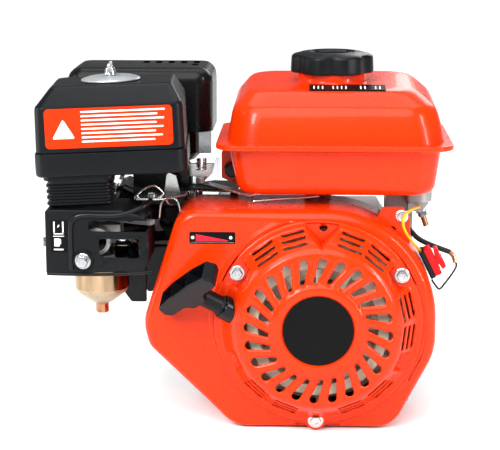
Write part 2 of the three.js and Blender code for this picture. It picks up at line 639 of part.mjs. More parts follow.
const filter = cut(slab(rectangle(0, 0, 100, 84, 12), 3.3, 60), rod([0, 0, 0], [0, 0, 70], 16, 16));
const plateProfile = [[3.6, 82.6], [28, 82.6], [28, 84], [20, 86.5], [3.6, 86.5], [3.6, 82.6]];
piece(airCleaner, "air_cleaner_case", cleanerCase(), blackPlastic);
piece(airCleaner, "filter_element", filter, foam);
piece(airCleaner, "air_cleaner_cover", cleanerCover(), blackPlastic);
piece(airCleaner, "cover_plate", turnedUp(plateProfile), zinc);

const nutHub = join(rod([0, 0, 86.9], [0, 0, 93], 6, 12), block([-1.6, -14, 88], [1.6, 14, 99]));
piece(airCleaner, "wing_nut", cut(nutHub, rod([0, 0, 80], [0, 0, 105], 3.3, 10)), zinc);

// ---- Carburettor, its cover, bowl and levers ----

const CARB = [-207, -105, 185];
const BOWL_TOP = 163;

function carburetor() {
  const [x, y, z] = CARB;
  const throat = rod([x, -138, z - 4], [x, -77, z - 4], 13, 18);
  const body = block([x - 20, y - 15, BOWL_TOP], [x + 20, y + 15, 194]);
  const bowlSeat = rod([x, y, BOWL_TOP], [x, y, BOWL_TOP + 3], 27, 24);
  const pivots = [rod([x, y, 193], [x, y, 199], 4, 10), rod([x + 30, -118, 175], [x + 30, -112, 175], 7, 12)];
  const cockArm = block([x + 15, -115, 170], [x + 32, -108, 180]);
  return cut(join(throat, body, bowlSeat, cockArm, ...pivots), rod([x, -140, z - 4], [x, -75, z - 4], 9, 14));
}

function floatBowl() {
  const top = BOWL_TOP - GAP;
  const wall = [
    [3.6, 116], [10, 116], [24, 126], [26, 131], [26, top],
    [24, top], [24, 132], [22, 128], [9, 118.5], [3.6, 118.5],
  ];
  const bowl = turnedUp([...wall, wall[0]], 20);
  return bowl.translate(CARB[0], CARB[1], 0);
}

function carbCover() {
  const corners = [
    [-254, 151, 3], [-153, 151, 3], [-156, 170, 3], [-158, 208, 10], [-182, 213.5, 3], [-254, 213.5, 3],
  ];
  const shell = cut(plate(corners, -150, -84), plate(inset(corners, 2.5), -147.5, -80));
  const window = block([-198, -160, 164], [-140, -110, 189]);
  const leverSlot = block([-222, -160, 193], [-140, -96, 201]);
  const roofHole = slab(rectangle(-224, -119, 50, 34), 205, 220);
  const bowlHole = rod([...CARB.slice(0, 2), 140], [...CARB.slice(0, 2), 160], 28, 20);
  return cut(shell, window, leverSlot, roofHole, bowlHole);
}

function intakeInsulator() {
  const corners = [
    [-190, -76.5], [-222, -76.5], [-228, -70], [-172, -46.4], [-126, -46.4], [-126, -50], [-150, -53],
  ];
  const passage = rod([-140, -40, 181], [-211, -80, 181], 9, 14);
  return cut(slab(corners.reverse(), 165, 198), passage);
}

function chokeLever() {
  const hub = rod([0, 0, 194.6], [0, 0, 199.6], 8, 14);
  const arm = block([4, -4.5, 195], [55, 4.5, 199]).rotateZ(-21 * RAD);
  return cut(join(hub, arm), rod([0, 0, 180], [0, 0, 210], 4 + GAP, 10));
}

function fuelValveLever() {
  return join(rod([0, -124.5, 0], [0, -118.3, 0], 8, 14), block([0, -124.5, -3.5], [18, -121, 3.5]));
}

piece(engine, "carburetor", carburetor(), castAluminium);
piece(engine, "float_bowl", floatBowl(), passivated);
const drain = join(rod([0, 0, 105], [0, 0, 115.7], 7, 6), rod([0, 0, 114], [0, 0, 128], 3.2, 10));
piece(engine, "bowl_drain_bolt", drain, passivated).position.set(CARB[0], CARB[1], 0);
piece(engine, "carb_cover", carbCover(), blackPlastic);
piece(engine, "intake_insulator", intakeInsulator(), blackPlastic);
piece(engine, "choke_lever", chokeLever(), zinc).position.set(CARB[0], CARB[1], 0);
piece(engine, "fuel_valve_lever", fuelValveLever(), blackPlastic).position.set(CARB[0] + 30, 0, 175);

// ---- Muffler and its guard ----

function muffler() {
  const can = slab(rectangle(-182, 52, 126, 74, 20), 232, 318, { bevel: 8, arcs: 2 });
  const pipe = join(
    rod([-146, 46.5, 181.5], [-146, 62, 181.5], 12, 16),
    rod([-146, 60, 174], [-146, 60, 236], 12, 16),
    block([-172, 46.4, 166], [-120, 50, 197]),
  );
  const outlet = rod([-222, 88, 290], [-222, 102, 290], 9, 14);
  const chamber = slab(rectangle(-182, 52, 122, 70, 18), 234, 316, { bevel: 7 });
  const ways = [
    rod([-146, 40, 181.5], [-146, 60, 181.5], 9, 14),
    rod([-146, 60, 177], [-146, 60, 240], 9, 14),
    rod([-222, 80, 290], [-222, 104, 290], 7, 14),
  ];
  return cut(join(can, pipe, outlet), chamber, ...ways);
}

function mufflerGuard() {
  const corners = rectangle(-180.5, 52, 147, 98, 20);
  const outer = slab(corners, 240, 328, { bevel: 12 });
  const inner = slab(inset(corners, 2), 230, 326, { bevel: 11 });
  const slots = [0, 1, 2, 3, 4].map((i) => block([-178 + i * 12, 70, 320], [-172 + i * 12, 86, 335]));
  const outlet = rod([-222, 90, 290], [-222, 110, 290], 12, 16);
  return cut(outer, inner, block([-300, -50, 230], [0, 150, 264]), ...slots, outlet);
}

piece(engine, "muffler", muffler(), blackSteel);
piece(engine, "muffler_guard", mufflerGuard(), blackSteel);

// ---- Controls: throttle lever, governor and stop switch ----

const THROTTLE_PIVOT = [-117, -30];
const GOVERNOR_PIVOT = [-84, 150];
const GOVERNOR_TOP = [-66, 213];

function controlBase() {
  const base = slab([[-132, -58], [-78, -58], [-78, -12], [-132, -12]], 216, 218);
  const post = rod([...THROTTLE_PIVOT, 217], [...THROTTLE_PIVOT, 225], 3.5, 12);
  const leg = block([-88, -20, 202.6], [-80, -12, 217]);
  return join(base, post, leg);
}

function throttleLever() {
  const swing = Math.atan2(-70, 55);
  const arm = block([6, -5, 218.4], [88, 5, 220.2]).rotateZ(swing);
  const knob = slab([[-14, -3], [14, -3], [14, 3], [-14, 3]], 225.5, 238);
  const hub = join(rod([0, 0, 218.4], [0, 0, 226], 9, 14), knob);
  return cut(join(arm, hub), rod([0, 0, 210], [0, 0, 225.3], 3.5 + GAP, 12));
}

function governorArm() {
  const [dx, dz] = [GOVERNOR_TOP[0] - GOVERNOR_PIVOT[0], GOVERNOR_TOP[1] - GOVERNOR_PIVOT[1]];
  const reach = Math.hypot(dx, dz);
  const bar = plate([[-5, -8], [5, -8], [4, reach], [-4, reach]], -48.6, -46);
  return bar.rotateY(Math.atan2(dx, dz));
}

function governorRod() {
  const level = GOVERNOR_TOP[1];
  const points = [
    [-64, -44.4, level], [-100, -44.4, level], [-140, -44.4, level],
    [-158, -56, 211], [-182, -82, 206.5], [-192, -92, 206],
  ];
  return cable(points, 1.3, 9, 6);
}

piece(engine, "control_base", controlBase(), blackSteel);
piece(engine, "throttle_lever", throttleLever(), zinc).position.set(...THROTTLE_PIVOT, 0);
piece(engine, "governor_arm", governorArm(), zinc).position.set(GOVERNOR_PIVOT[0], 0, GOVERNOR_PIVOT[1]);
piece(engine, "governor_rod", governorRod(), zinc);

// The switch sits on the curved side of the blower housing.
const SWITCH_ANGLE = 26;
const SWITCH_RADIUS = 104;
const switchSlope = SWITCH_ANGLE * RAD;
const stopSwitch = new THREE.Group(); // +X outwards from the housing
const [switchOut, switchUp] = [Math.cos(switchSlope), Math.sin(switchSlope)];
stopSwitch.position.set(7 + SWITCH_RADIUS * switchOut, -95, 107 + SWITCH_RADIUS * switchUp);
stopSwitch.rotation.y = -switchSlope;
engine.add(stopSwitch);
piece(stopSwitch, "stop_switch_body", block([0.8, -12, -14], [6, 12, 14]), blackPlastic);
const rocking = plate([[9, -10], [19, -8], [19, 8], [9, 10], [7, 3], [7, -3]], -9, 9);
piece(stopSwitch, "stop_switch_rocker", rocking, redPlastic);

const yellowRoute = [
  [86, -62, 205], [82, -78, 199.5], [82.5, -88, 191], [87, -94, 183], [93.5, -96, 175.5], [97.5, -96, 168],
];
const blackRoute = [
  [90, -66, 187], [101, -72, 178], [114, -76, 171], [127, -80, 164.5], [134, -84, 151], [127.5, -88, 138],
  [118, -90, 128.5], [113.4, -92, 133],
];
piece(engine, "switch_wire_yellow", cable(yellowRoute, 1.5, 10, 6), yellowWire);
piece(engine, "switch_wire_black", cable(blackRoute, 1.6, 18, 6), blackRubber);

export default engine;
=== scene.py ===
"""Looks of the small petrol engine. Lengths in the tables are in millimetres, in the row frame."""

import json
import math

import bpy
import numpy as np
from mathutils import Matrix, Vector


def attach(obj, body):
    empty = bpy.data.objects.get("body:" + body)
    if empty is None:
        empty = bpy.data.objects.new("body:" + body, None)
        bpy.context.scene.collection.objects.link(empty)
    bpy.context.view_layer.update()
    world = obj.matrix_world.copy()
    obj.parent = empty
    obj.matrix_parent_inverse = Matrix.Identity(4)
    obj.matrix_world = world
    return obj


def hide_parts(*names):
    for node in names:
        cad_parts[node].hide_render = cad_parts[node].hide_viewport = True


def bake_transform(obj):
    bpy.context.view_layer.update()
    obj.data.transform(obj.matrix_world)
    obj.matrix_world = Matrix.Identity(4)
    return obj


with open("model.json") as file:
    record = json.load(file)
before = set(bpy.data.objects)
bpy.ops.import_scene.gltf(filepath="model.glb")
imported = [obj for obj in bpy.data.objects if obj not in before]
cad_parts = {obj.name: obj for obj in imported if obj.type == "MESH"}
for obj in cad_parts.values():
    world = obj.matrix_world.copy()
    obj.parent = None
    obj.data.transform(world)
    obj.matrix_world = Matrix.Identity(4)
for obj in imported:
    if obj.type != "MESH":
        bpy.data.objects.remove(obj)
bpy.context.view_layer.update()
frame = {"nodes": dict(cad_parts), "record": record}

MM = 0.001
ENGINE = "engine_block"
CRANK = Vector((0, 0, 106))
TAU = 2 * math.pi


# ---- Camera and light ----


def add_camera():
    data = bpy.data.cameras.new("camera")
    data.lens = 118
    data.sensor_width = 36
    data.clip_end = 200
    camera = bpy.data.objects.new("camera", data)
    bpy.context.collection.objects.link(camera)
    camera.location = (-0.009356, -1.626034, 0.503908)
    camera.rotation_euler = (math.radians(78.4), 0, math.radians(2.1))
    bpy.context.scene.camera = camera


def add_area(name, place, target, size, power, color=(1, 1, 1)):
    data = bpy.data.lights.new(name, "AREA")
    data.shape = "RECTANGLE"
    data.size, data.size_y = size
    data.energy = power
    data.color = color
    light = bpy.data.objects.new(name, data)
    bpy.context.collection.objects.link(light)
    light.location = place
    aim = Vector(target) - Vector(place)
    light.rotation_euler = aim.to_track_quat("-Z", "Y").to_euler()


def add_lights():
    world = bpy.data.worlds.new("studio")
    bpy.context.scene.world = world
    world.use_nodes = True
    world.node_tree.nodes["Background"].inputs[0].default_value = (1, 1, 1, 1)
    world.node_tree.nodes["Background"].inputs[1].default_value = 0.2
    sun = bpy.data.lights.new("sky_fill", "SUN")
    sun.energy = 3.9
    sun.angle = math.radians(60)
    fill = bpy.data.objects.new("sky_fill", sun)
    bpy.context.collection.objects.link(fill)
    fill.rotation_euler = (math.radians(38), math.radians(-12), 0)
    target = (-0.05, 0, 0.18)
    add_area("key", (-0.75, -1.15, 0.95), target, (0.3, 0.45), 15)
    add_area("right_strip", (1.0, -0.75, 0.6), target, (0.1, 0.8), 11)
    add_area("left_strip", (-1.2, -0.2, 0.45), target, (0.25, 0.9), 5)
    add_area("top", (0, 0.25, 1.3), target, (1.1, 0.7), 6)
    add_area("back", (0.5, 1.3, 0.9), target, (0.8, 0.6), 6)


# ---- Materials ----


def tone(color, factor):
    return tuple(min(c * factor, 1) for c in color) + (1,)


def finish(name, color, rough=0.4, spread=0.08, metal=0.0, coat=0.0, grain=900, bump=0.02,
           patch=25, vary=0.12, stretch=(1, 1, 1), dust_and_reflection=None, shine=0.2):
    """A procedural finish: patchy colour, uneven roughness and a fine grain in object space. The second patch
    colour is real dust on the bright zinc and painted reflection streaks on the yellow zinc.
    """
    material = bpy.data.materials.new(name)
    material.use_nodes = True
    nodes, links = material.node_tree.nodes, material.node_tree.links
    shader = nodes["Principled BSDF"]
    shader.inputs["Metallic"].default_value = metal
    shader.inputs["Specular IOR Level"].default_value = shine
    shader.inputs["Coat Weight"].default_value = coat
    shader.inputs["Coat Roughness"].default_value = 0.04
    coordinates = nodes.new("ShaderNodeTexCoord")
    mapping = nodes.new("ShaderNodeMapping")
    mapping.inputs["Scale"].default_value = stretch
    links.new(coordinates.outputs["Object"], mapping.inputs["Vector"])

    def noise(scale, detail):
        node = nodes.new("ShaderNodeTexNoise")
        node.inputs["Scale"].default_value = scale
        node.inputs["Detail"].default_value = detail
        links.new(mapping.outputs["Vector"], node.inputs["Vector"])
        return node.outputs["Fac"]

    ramp = nodes.new("ShaderNodeValToRGB")
    ramp.color_ramp.elements[0].position = 0.3
    ramp.color_ramp.elements[1].position = 0.7
    ramp.color_ramp.elements[0].color = tone(color, 1 - vary)
    ramp.color_ramp.elements[1].color = tone(dust_and_reflection or color, 1 + vary)
    links.new(noise(patch, 6), ramp.inputs["Fac"])
    links.new(ramp.outputs["Color"], shader.inputs["Base Color"])
    spans = nodes.new("ShaderNodeMapRange")
    spans.inputs["To Min"].default_value = max(rough - spread, 0.02)
    spans.inputs["To Max"].default_value = rough + spread
    links.new(noise(patch * 6, 4), spans.inputs["Value"])
    links.new(spans.outputs["Result"], shader.inputs["Roughness"])
    relief = nodes.new("ShaderNodeBump")
    relief.inputs["Strength"].default_value = bump * 10
    relief.inputs["Distance"].default_value = 0.0002
    links.new(noise(grain, 3), relief.inputs["Height"])
    links.new(relief.outputs["Normal"], shader.inputs["Normal"])
    return material


ORANGE = (0.62, 0.026, 0.0006)
paint = finish("orange_enamel", ORANGE, rough=0.28, spread=0.04, coat=0.16, shine=0.12, grain=260,
               bump=0.006, vary=0.05)
cast = finish("cast_aluminium", (0.36, 0.36, 0.355), rough=0.55, metal=0.75, grain=1500, bump=0.08,
              vary=0.15)
iron = finish("cast_iron", (0.16, 0.155, 0.15), rough=0.6, metal=0.7, grain=1200, bump=0.06)
steel = finish("ground_steel", (0.6, 0.6, 0.62), rough=0.28, metal=1, grain=900, bump=0.02,
               stretch=(1, 8, 1))
zinc = finish("bright_zinc", (0.42, 0.44, 0.47), rough=0.24, metal=0.9, grain=500, bump=0.012, vary=0.1,
              dust_and_reflection=(0.58, 0.58, 0.54))
chrome = finish("pressed_chrome", (0.62, 0.63, 0.66), rough=0.1, spread=0.04, metal=1, grain=300,
                bump=0.004, vary=0.04)
# Painted reflection: with the noise stretched along Z, the dark brown and pale gold tones fall in upright
# streaks that stand in for reflections and a highlight on the float bowl.
gold = finish("yellow_zinc", (0.1, 0.07, 0.035), rough=0.22, metal=1, grain=400, bump=0.01, patch=55,
              vary=0.3, stretch=(1, 1, 0.12),
              dust_and_reflection=(0.52, 0.36, 0.22))
cream = finish("pale_zinc", (0.42, 0.34, 0.23), rough=0.3, metal=0.7, grain=500, bump=0.01, patch=60)
pale_zinc = finish("pressed_zinc", (0.42, 0.44, 0.46), rough=0.34, metal=0.55, grain=500, bump=0.01,
                   shine=0.5)
grey = finish("grey_plastic", (0.2, 0.21, 0.22), rough=0.4, grain=900)
copper = finish("brown_zinc", (0.42, 0.2, 0.11), rough=0.32, metal=0.9, grain=600, bump=0.02, patch=80,
                vary=0.3)
black = finish("black_plastic", (0.003, 0.0036, 0.0046), shine=0.15, rough=0.34, spread=0.07, grain=1800,
               bump=0.05, vary=0.2)
gloss_black = finish("glossy_black_plastic", (0.003, 0.0036, 0.0046), shine=0.2, rough=0.2, grain=900,
                     bump=0.01, vary=0.15)
enamel = finish("black_enamel", (0.0035, 0.0037, 0.0042), shine=0.15, rough=0.28, coat=0.06, grain=700,
                bump=0.02, vary=0.2)
beige = finish("beige_plastic", (0.6, 0.52, 0.4), rough=0.45, grain=900, bump=0.03, vary=0.15)
foam = finish("open_foam", (0.05, 0.05, 0.05), rough=0.9, grain=700, bump=0.3)
ceramic = finish("glazed_ceramic", (0.7, 0.68, 0.64), rough=0.15, grain=300, bump=0.004, vary=0.03)
red = finish("red_plastic", (0.6, 0.004, 0.006), rough=0.35, grain=900, bump=0.02)
rubber = finish("black_rubber", (0.012, 0.012, 0.013), rough=0.6, grain=1500, bump=0.05)
yellow = finish("yellow_insulation", (0.9, 0.42, 0.01), rough=0.35, grain=900, bump=0.02, vary=0.08)
cord = finish("braided_cord", (0.5, 0.48, 0.44), rough=0.8, grain=1600, bump=0.3, stretch=(1, 1, 0.4))
# Black for badges and printed marks, and also painted shade: black discs stand in for the dark tapped holes
# and the ear plate's hole.
badge_and_hole_shade = finish("black_badge_and_hole_shade", (0.003, 0.003, 0.0034), shine=0.08, rough=0.4, grain=2200, bump=0.03,
               vary=0.1)
label = finish("label_orange", (0.62, 0.024, 0.001), rough=0.4, shine=0.1, grain=900, bump=0.004, vary=0.03)
white = finish("label_white", (0.85, 0.85, 0.85), rough=0.45, grain=900, bump=0.004, vary=0.03)
wedge_red = finish("label_red", (0.75, 0.01, 0.03), rough=0.4, grain=900, bump=0.004, vary=0.05)

CAD_FINISH = {
    "orange_paint": paint, "cast_aluminium": cast, "cast_iron": iron, "steel": steel, "zinc_plate": zinc,
    "yellow_zinc": gold, "black_plastic": black, "black_enamel": enamel, "beige_plastic": beige,
    "filter_foam": foam, "plug_ceramic": ceramic, "red_plastic": red, "black_rubber": rubber,
    "yellow_wire": yellow, "starter_cord": cord,
}


# ---- Mesh helpers ----


def piece(name, points, faces, material, slot, body=ENGINE, place=None, stands_for=(), sharp=32):
    """A mesh from points in millimetres, riding on a CAD body."""
    mesh = bpy.data.meshes.new(name)
    co = np.array(points, float).reshape(-1, 3)
    if place is not None:
        turn = np.array(place)
        co = co @ turn[:3, :3].T + turn[:3, 3]
    mesh.from_pydata((co * MM).tolist(), [], [tuple(int(i) for i in f) for f in faces])
    mesh.materials.append(material)
    mesh.shade_smooth()
    mesh.set_sharp_from_angle(angle=math.radians(sharp))
    obj = bpy.data.objects.new(name, mesh)
    bpy.context.collection.objects.link(obj)
    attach(obj, body)
    add_modifier(obj, "WEIGHTED_NORMAL", keep_sharp=True)
    if stands_for:
        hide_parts(*stands_for)
    return obj


def bridge(rings, caps=(False, False), closed=False):
    """Points and faces of a skin through rings of equal length."""
    count = len(rings[0])
    points = np.concatenate([np.array(r, float) for r in rings])
    faces = []
    spans = len(rings) if closed else len(rings) - 1
    for k in range(spans):
        a, b = k * count, (k + 1) % len(rings) * count
        for i in range(count):
            j = (i + 1) % count
            faces.append((a + i, a + j, b + j, b + i))
    if caps[0]:
        faces.append(tuple(range(count - 1, -1, -1)))
    if caps[1]:
        start = (len(rings) - 1) * count
        faces.append(tuple(range(start, start + count)))
    return points, faces


def fillet(corners, arcs=6):
    """The [x, y, radius] corners as a closed run of points, each corner an arc."""
    out = []
    n = len(corners)
    for i, (x, y, r) in enumerate(corners):
        c = np.array((x, y), float)
        a = np.array(corners[i - 1][:2], float) - c
        b = np.array(corners[(i + 1) % n][:2], float) - c
        a /= np.linalg.norm(a)
        b /= np.linalg.norm(b)
        half = math.acos(max(-1, min(1, float(a @ b)))) / 2
        start, end = c + a * r / math.tan(half), c + b * r / math.tan(half)
        centre = c + (a + b) / np.linalg.norm(a + b) * r / math.sin(half)
        s = math.atan2(*(start - centre)[::-1])
        e = math.atan2(*(end - centre)[::-1])
        sweep = (e - s + math.pi) % TAU - math.pi
        out += [centre + r * np.array((math.cos(s + sweep * k / arcs), math.sin(s + sweep * k / arcs)))
                for k in range(arcs + 1)]
    return np.array(out)


def inset(corners, distance):
    """The corners moved inwards, their arcs shrunk to suit."""
    out = []
    n = len(corners)
    for i, (x, y, r) in enumerate(corners):
        c = np.array((x, y), float)
        a = np.array(corners[i - 1][:2], float) - c
        b = np.array(corners[(i + 1) % n][:2], float) - c
        a /= np.linalg.norm(a)
        b /= np.linalg.norm(b)
        half = math.acos(max(-1, min(1, float(a @ b)))) / 2
        inwards = 1 if a[0] * b[1] - a[1] * b[0] < 0 else -1
        move = (a + b) / np.linalg.norm(a + b) * inwards * distance / math.sin(half)
        out.append((x + move[0], y + move[1], max(r - inwards * distance, 0.4)))
    return out


def rect(x0, x1, y0, y1, r):
    return [(x0, y0, r), (x1, y0, r), (x1, y1, r), (x0, y1, r)]


def level(corners, z, arcs=6):
    """A corner run at a height z, or a height that is a function of (x, y)."""
    run = fillet(corners, arcs)
    heights = [z(x, y) if callable(z) else z for x, y in run]
    return np.column_stack([run, heights])


def upright(corners, y, arcs=6):
    """A corner run in the XZ plane at y; anticlockwise corners face -Y."""
    run = fillet(corners, arcs)
    return np.column_stack([run[:, 0], np.full(len(run), y), run[:, 1]])


def slab(corners, z0, z1, edge=1.0, arcs=6):
    """A level plate with rounded edges."""
    steps = [(z0, edge), (z0 + edge * 0.3, edge * 0.3), (z0 + edge, 0), (z1 - edge, 0),
             (z1 - edge * 0.3, edge * 0.3),
             (z1, edge)]
    return bridge([level(inset(corners, d), z, arcs) for z, d in steps], (True, True))


def plate(corners, y0, y1, edge=1.0, arcs=6):
    """An upright plate from y0 back to y1, rounded at both faces."""
    steps = [(y1, edge), (y1 - edge * 0.3, edge * 0.3), (y1 - edge, 0), (y0 + edge, 0),
             (y0 + edge * 0.3, edge * 0.3),
             (y0, edge)]
    return bridge([upright(inset(corners, d), y, arcs) for y, d in steps], (True, True))


def spun(profile, count=48, lobes=None):
    """A profile of [radius, height] turned about Z; lobes(angle) scales the radius."""
    rings = []
    for r, z in profile:
        ring = []
        for i in range(count):
            angle = TAU * i / count
            radius = r * (lobes(angle, z) if lobes else 1)
            ring.append((radius * math.cos(angle), radius * math.sin(angle), z))
        rings.append(ring)
    return bridge(rings, (True, True))


def box_mesh(low, high, edge=0.6):
    return slab(rect(low[0], high[0], low[1], high[1], edge + 0.1), low[2], high[2], edge, 2)


def placed(origin, z_axis, x_axis=(1, 0, 0)):
    """A frame at origin with its Z along z_axis and its X near x_axis."""
    z = Vector(z_axis).normalized()
    y = z.cross(Vector(x_axis)).normalized()
    x = y.cross(z)
    turn = Matrix((x, y, z)).transposed().to_4x4()
    return Matrix.Translation(Vector(origin)) @ turn


def tube(name, route, radius, material, slot, body=ENGINE, stands_for=(), sides=10, steps=8):
    """A round cable on a smooth line through the route."""
    pts = [Vector(p) for p in route]
    line = []
    for i in range(len(pts) - 1):
        p0, p1, p2, p3 = pts[max(i - 1, 0)], pts[i], pts[i + 1], pts[min(i + 2, len(pts) - 1)]
        for k in range(steps):
            t = k / steps
            line.append(0.5 * (2 * p1 + (p2 - p0) * t + (2 * p0 - 5 * p1 + 4 * p2 - p3) * t * t
                               + (3 * p1 - p0 - 3 * p2 + p3) * t ** 3))
    line.append(pts[-1])
    rings = []
    normal = (line[1] - line[0]).orthogonal().normalized()
    for i, p in enumerate(line):
        along = (line[min(i + 1, len(line) - 1)] - line[max(i - 1, 0)]).normalized()
        normal = (normal - along * normal.dot(along)).normalized()
        side = along.cross(normal)
        rings.append([p + radius * (math.cos(TAU * k / sides) * normal + math.sin(TAU * k / sides) * side)
                      for k in range(sides)])
    points, faces = bridge(rings, (True, True))
    return piece(name, points, faces, material, slot, body, stands_for=stands_for), line


def add_modifier(obj, kind, **settings):
    modifier = obj.modifiers.new(kind.lower(), kind)
    for key, value in settings.items():
        setattr(modifier, key, value)
    return modifier


def carve(obj, cutters):
    """Cuts closed meshes, each (points, faces), out of obj and keeps the result as its mesh."""
    tools = []
    for i, (points, faces) in enumerate(cutters):
        mesh = bpy.data.meshes.new(f"cutter_{i}")
        mesh.from_pydata((np.array(points, float) * MM).tolist(), [], [tuple(map(int, f)) for f in faces])
        tool = bpy.data.objects.new(f"cutter_{i}", mesh)
        bpy.context.collection.objects.link(tool)
        add_modifier(obj, "BOOLEAN", operation="DIFFERENCE", object=tool, solver="EXACT")
        tools.append(tool)
    bpy.context.view_layer.update()
    evaluated = obj.evaluated_get(bpy.context.evaluated_depsgraph_get())
    made = bpy.data.meshes.new_from_object(evaluated)
    obj.modifiers.clear()
    obj.data = made
    for tool in tools:
        bpy.data.objects.remove(tool)
    made.shade_smooth()
    made.set_sharp_from_angle(angle=math.radians(32))
    return obj


def join_meshes(*parts):
    points, faces, start = [], [], 0
    for p, f in parts:
        points.append(np.array(p, float).reshape(-1, 3))
        faces += [tuple(i + start for i in face) for face in f]
        start += len(points[-1])
    return np.concatenate(points), faces


def moved(part, place):
    points, faces = part
    turn = np.array(place)
    return np.array(points, float) @ turn[:3, :3].T + turn[:3, 3], faces


def hex_bolt(name, origin, out, size=5.5, height=5.5, flange=7.5, material=None, slot="zinc_plate",
             body=ENGINE,
             recess=True):
    """A flanged hexagon head standing on origin, pointing along out."""
    def six(angle, z):
        return math.cos(math.pi / 6) / math.cos((angle % (TAU / 6)) - TAU / 12)
    disc = spun([(flange - 0.5, 0), (flange, 0.4), (flange, 1.1), (flange - 0.8, 1.7), (size, 1.8)], 36)
    head = spun([(size, 1.2), (size, height - 0.8), (size * 0.93, height - 0.2), (size * 0.8, height),
                 (size * 0.5, height), (size * 0.42, height - (0.9 if recess else 0))], 48, six)
    points, faces = join_meshes(disc, head)
    return piece(name, points, faces, material or zinc, slot, body, placed(origin, out))


# ---- Blower housing ----

COVER = [(111, 105, 104), (-131, 105, 22), (-166, -4, 40), (-160, -27, 18), (-80, -105, 30), (72, -105, 28),
         (111, -31, 60)]


def by_angle(corners, angles):
    """The outline's distance from the crankshaft axis in each direction."""
    run = fillet(corners, 24)
    turn = np.unwrap(np.arctan2(run[:, 1], run[:, 0]))
    order = np.argsort(turn % TAU)
    run, turn = run[order], (turn % TAU)[order]
    out = []
    for angle in angles:
        i = np.searchsorted(turn, angle % TAU) % len(run)
        p, q = run[i - 1], run[i]
        d = q - p
        ray = np.array((math.cos(angle), math.sin(angle)))
        across = ray[0] * d[1] - ray[1] * d[0]
        out.append((p[0] * d[1] - p[1] * d[0]) / across if abs(across) > 1e-9 else np.linalg.norm(p))
    return np.array(out)


def build_fan_cover():
    angles = np.linspace(0, TAU, 540, endpoint=False)
    ring = np.column_stack([np.cos(angles), np.sin(angles)])

    def at(radii, y):
        xz = ring * np.reshape(radii, (-1, 1))
        return np.column_stack([xz[:, 0], np.full(len(angles), float(y)), xz[:, 1] + CRANK.z])

    outline = by_angle(inset(COVER, 0.2), angles)
    edge = 10 - 6.5 * smooth_step(0.5, 0.85, -np.sin(angles))
    rings = [at(outline, -50.5), at(outline, -85), at(outline, -125)]
    for k in range(1, 8):
        turn = math.pi / 2 * k / 7
        rings.append(at(outline - edge * (1 - math.cos(turn)), -125 - 10 * math.sin(turn)))
    face = outline - edge - 0.8
    for share in (0.25, 0.5, 0.75):
        rings.append(at(face * (1 - share) + np.minimum(face, 103.5) * share, -135))
    for radius, y in ((103.4, -135), (102.6, -135.6), (101.6, -136.8), (100.6, -137.3), (98.4, -137.3),
                      (97.6, -136),
                      (97.4, -133), (90, -132.6)):
        rings.append(at(np.minimum(face, radius), y))
    points, faces = bridge(rings)
    shell = piece("blower_housing", points, faces, paint, "orange_paint", stands_for=("fan_cover",),
                  sharp=50)
    add_modifier(shell, "SOLIDIFY", thickness=0.002, offset=-1)


def build_throttle_decal():
    plate_mesh = plate(rect(-120.5, -77.7, 179.6, 190.8, 1.2), -135.45, -135.1, 0.1)
    piece("throttle_scale", *plate_mesh, badge_and_hole_shade, "black_plastic")
    wedge = [(-114.5, 182), (-85, 182), (-85, 183), (-114.5, 188.6)]
    points = [(x, y, z) for y in (-135.55, -135.3) for x, z in wedge]
    faces = [(0, 1, 2, 3), (7, 6, 5, 4), (0, 4, 5, 1), (1, 5, 6, 2), (2, 6, 7, 3), (3, 7, 4, 0)]
    piece("throttle_wedge", points, faces, wedge_red, "red_plastic")
    for name, x in (("scale_mark_low", -82), ("scale_mark_high", -117.5)):
        dot = moved(spun([(0.2, 0), (1.5, 0.05), (1.5, 0.2), (0.2, 0.22)], 16),
                    placed((x, -135.4, 185.5), (0, -1, 0)))
        piece(name, *dot, white, "plug_ceramic")
    line = plate(rect(-119.5, -79, 180.5, 181, 0.15), -135.52, -135.4, 0.05, 2)
    piece("scale_line", *line, white, "plug_ceramic")


# ---- Recoil starter ----

BOLTS = [(-75.6, 47.2), (77.3, 46.1), (-1.6, -95.1)]
SLOT_DROP = 1.6  # the ring of slots is centred this far below the shaft axis
LOUVRES = [106, 126, 69, 50, 13, -7, -46, -68, 227, 249]


def smooth_step(low, high, value):
    t = np.clip((value - low) / (high - low), 0, 1)
    return t * t * (3 - 2 * t)


def starter_depth(radius):
    """The housing's Y over its radius."""
    return np.interp(radius, [0, 33.9, 34.4, 36.4, 38, 40.5, 42.5, 44, 56, 67, 71.5, 75, 79, 84, 88, 90,
                              92, 96.3, 97],
                     [-170.2, -170.2, -171.8, -171.8, -172, -171.8, -170.4, -169.8, -168.6, -167.6, -166.9,
                      -164.5,
                      -160, -151.5, -145, -142.6, -141.2, -140.6, -139.2])


def teardrop(x, z, outer, inner):
    """Signed distance to a tapered slot between two (x, z, radius) ends."""
    a, b = np.array(inner[:2]), np.array(outer[:2])
    d = b - a
    px, pz = x - a[0], z - a[1]
    t = np.clip((px * d[0] + pz * d[1]) / (d @ d), 0, 1)
    return np.hypot(px - t * d[0], pz - t * d[1]) - (inner[2] + t * (outer[2] - inner[2]))


def polar(radius, degrees):
    return radius * math.cos(math.radians(degrees)), radius * math.sin(math.radians(degrees))


def starter_slots(x, z):
    """Distances to the air slots and to the louvres."""
    air = np.full(x.shape, 50.0)
    for i in range(24):
        middle = 90 + i * 15
        air = np.minimum(air, teardrop(x, z + SLOT_DROP, (*polar(64.6, middle - 3), 4.5),
                                       (*polar(47.6, middle + 3.4), 2.5)))
    louvre = np.full(x.shape, 50.0)
    for middle in LOUVRES:
        for radius in (78.6, 83.2, 87.8):
            cx, cz = polar(radius, middle)
            tx, tz = -math.sin(math.radians(middle)), math.cos(math.radians(middle))
            half = 10.6
            louvre = np.minimum(louvre, teardrop(x, z, (cx + half * tx, cz + half * tz, 1.4),
                                                 (cx - half * tx, cz - half * tz, 1.4)))
    return air, louvre


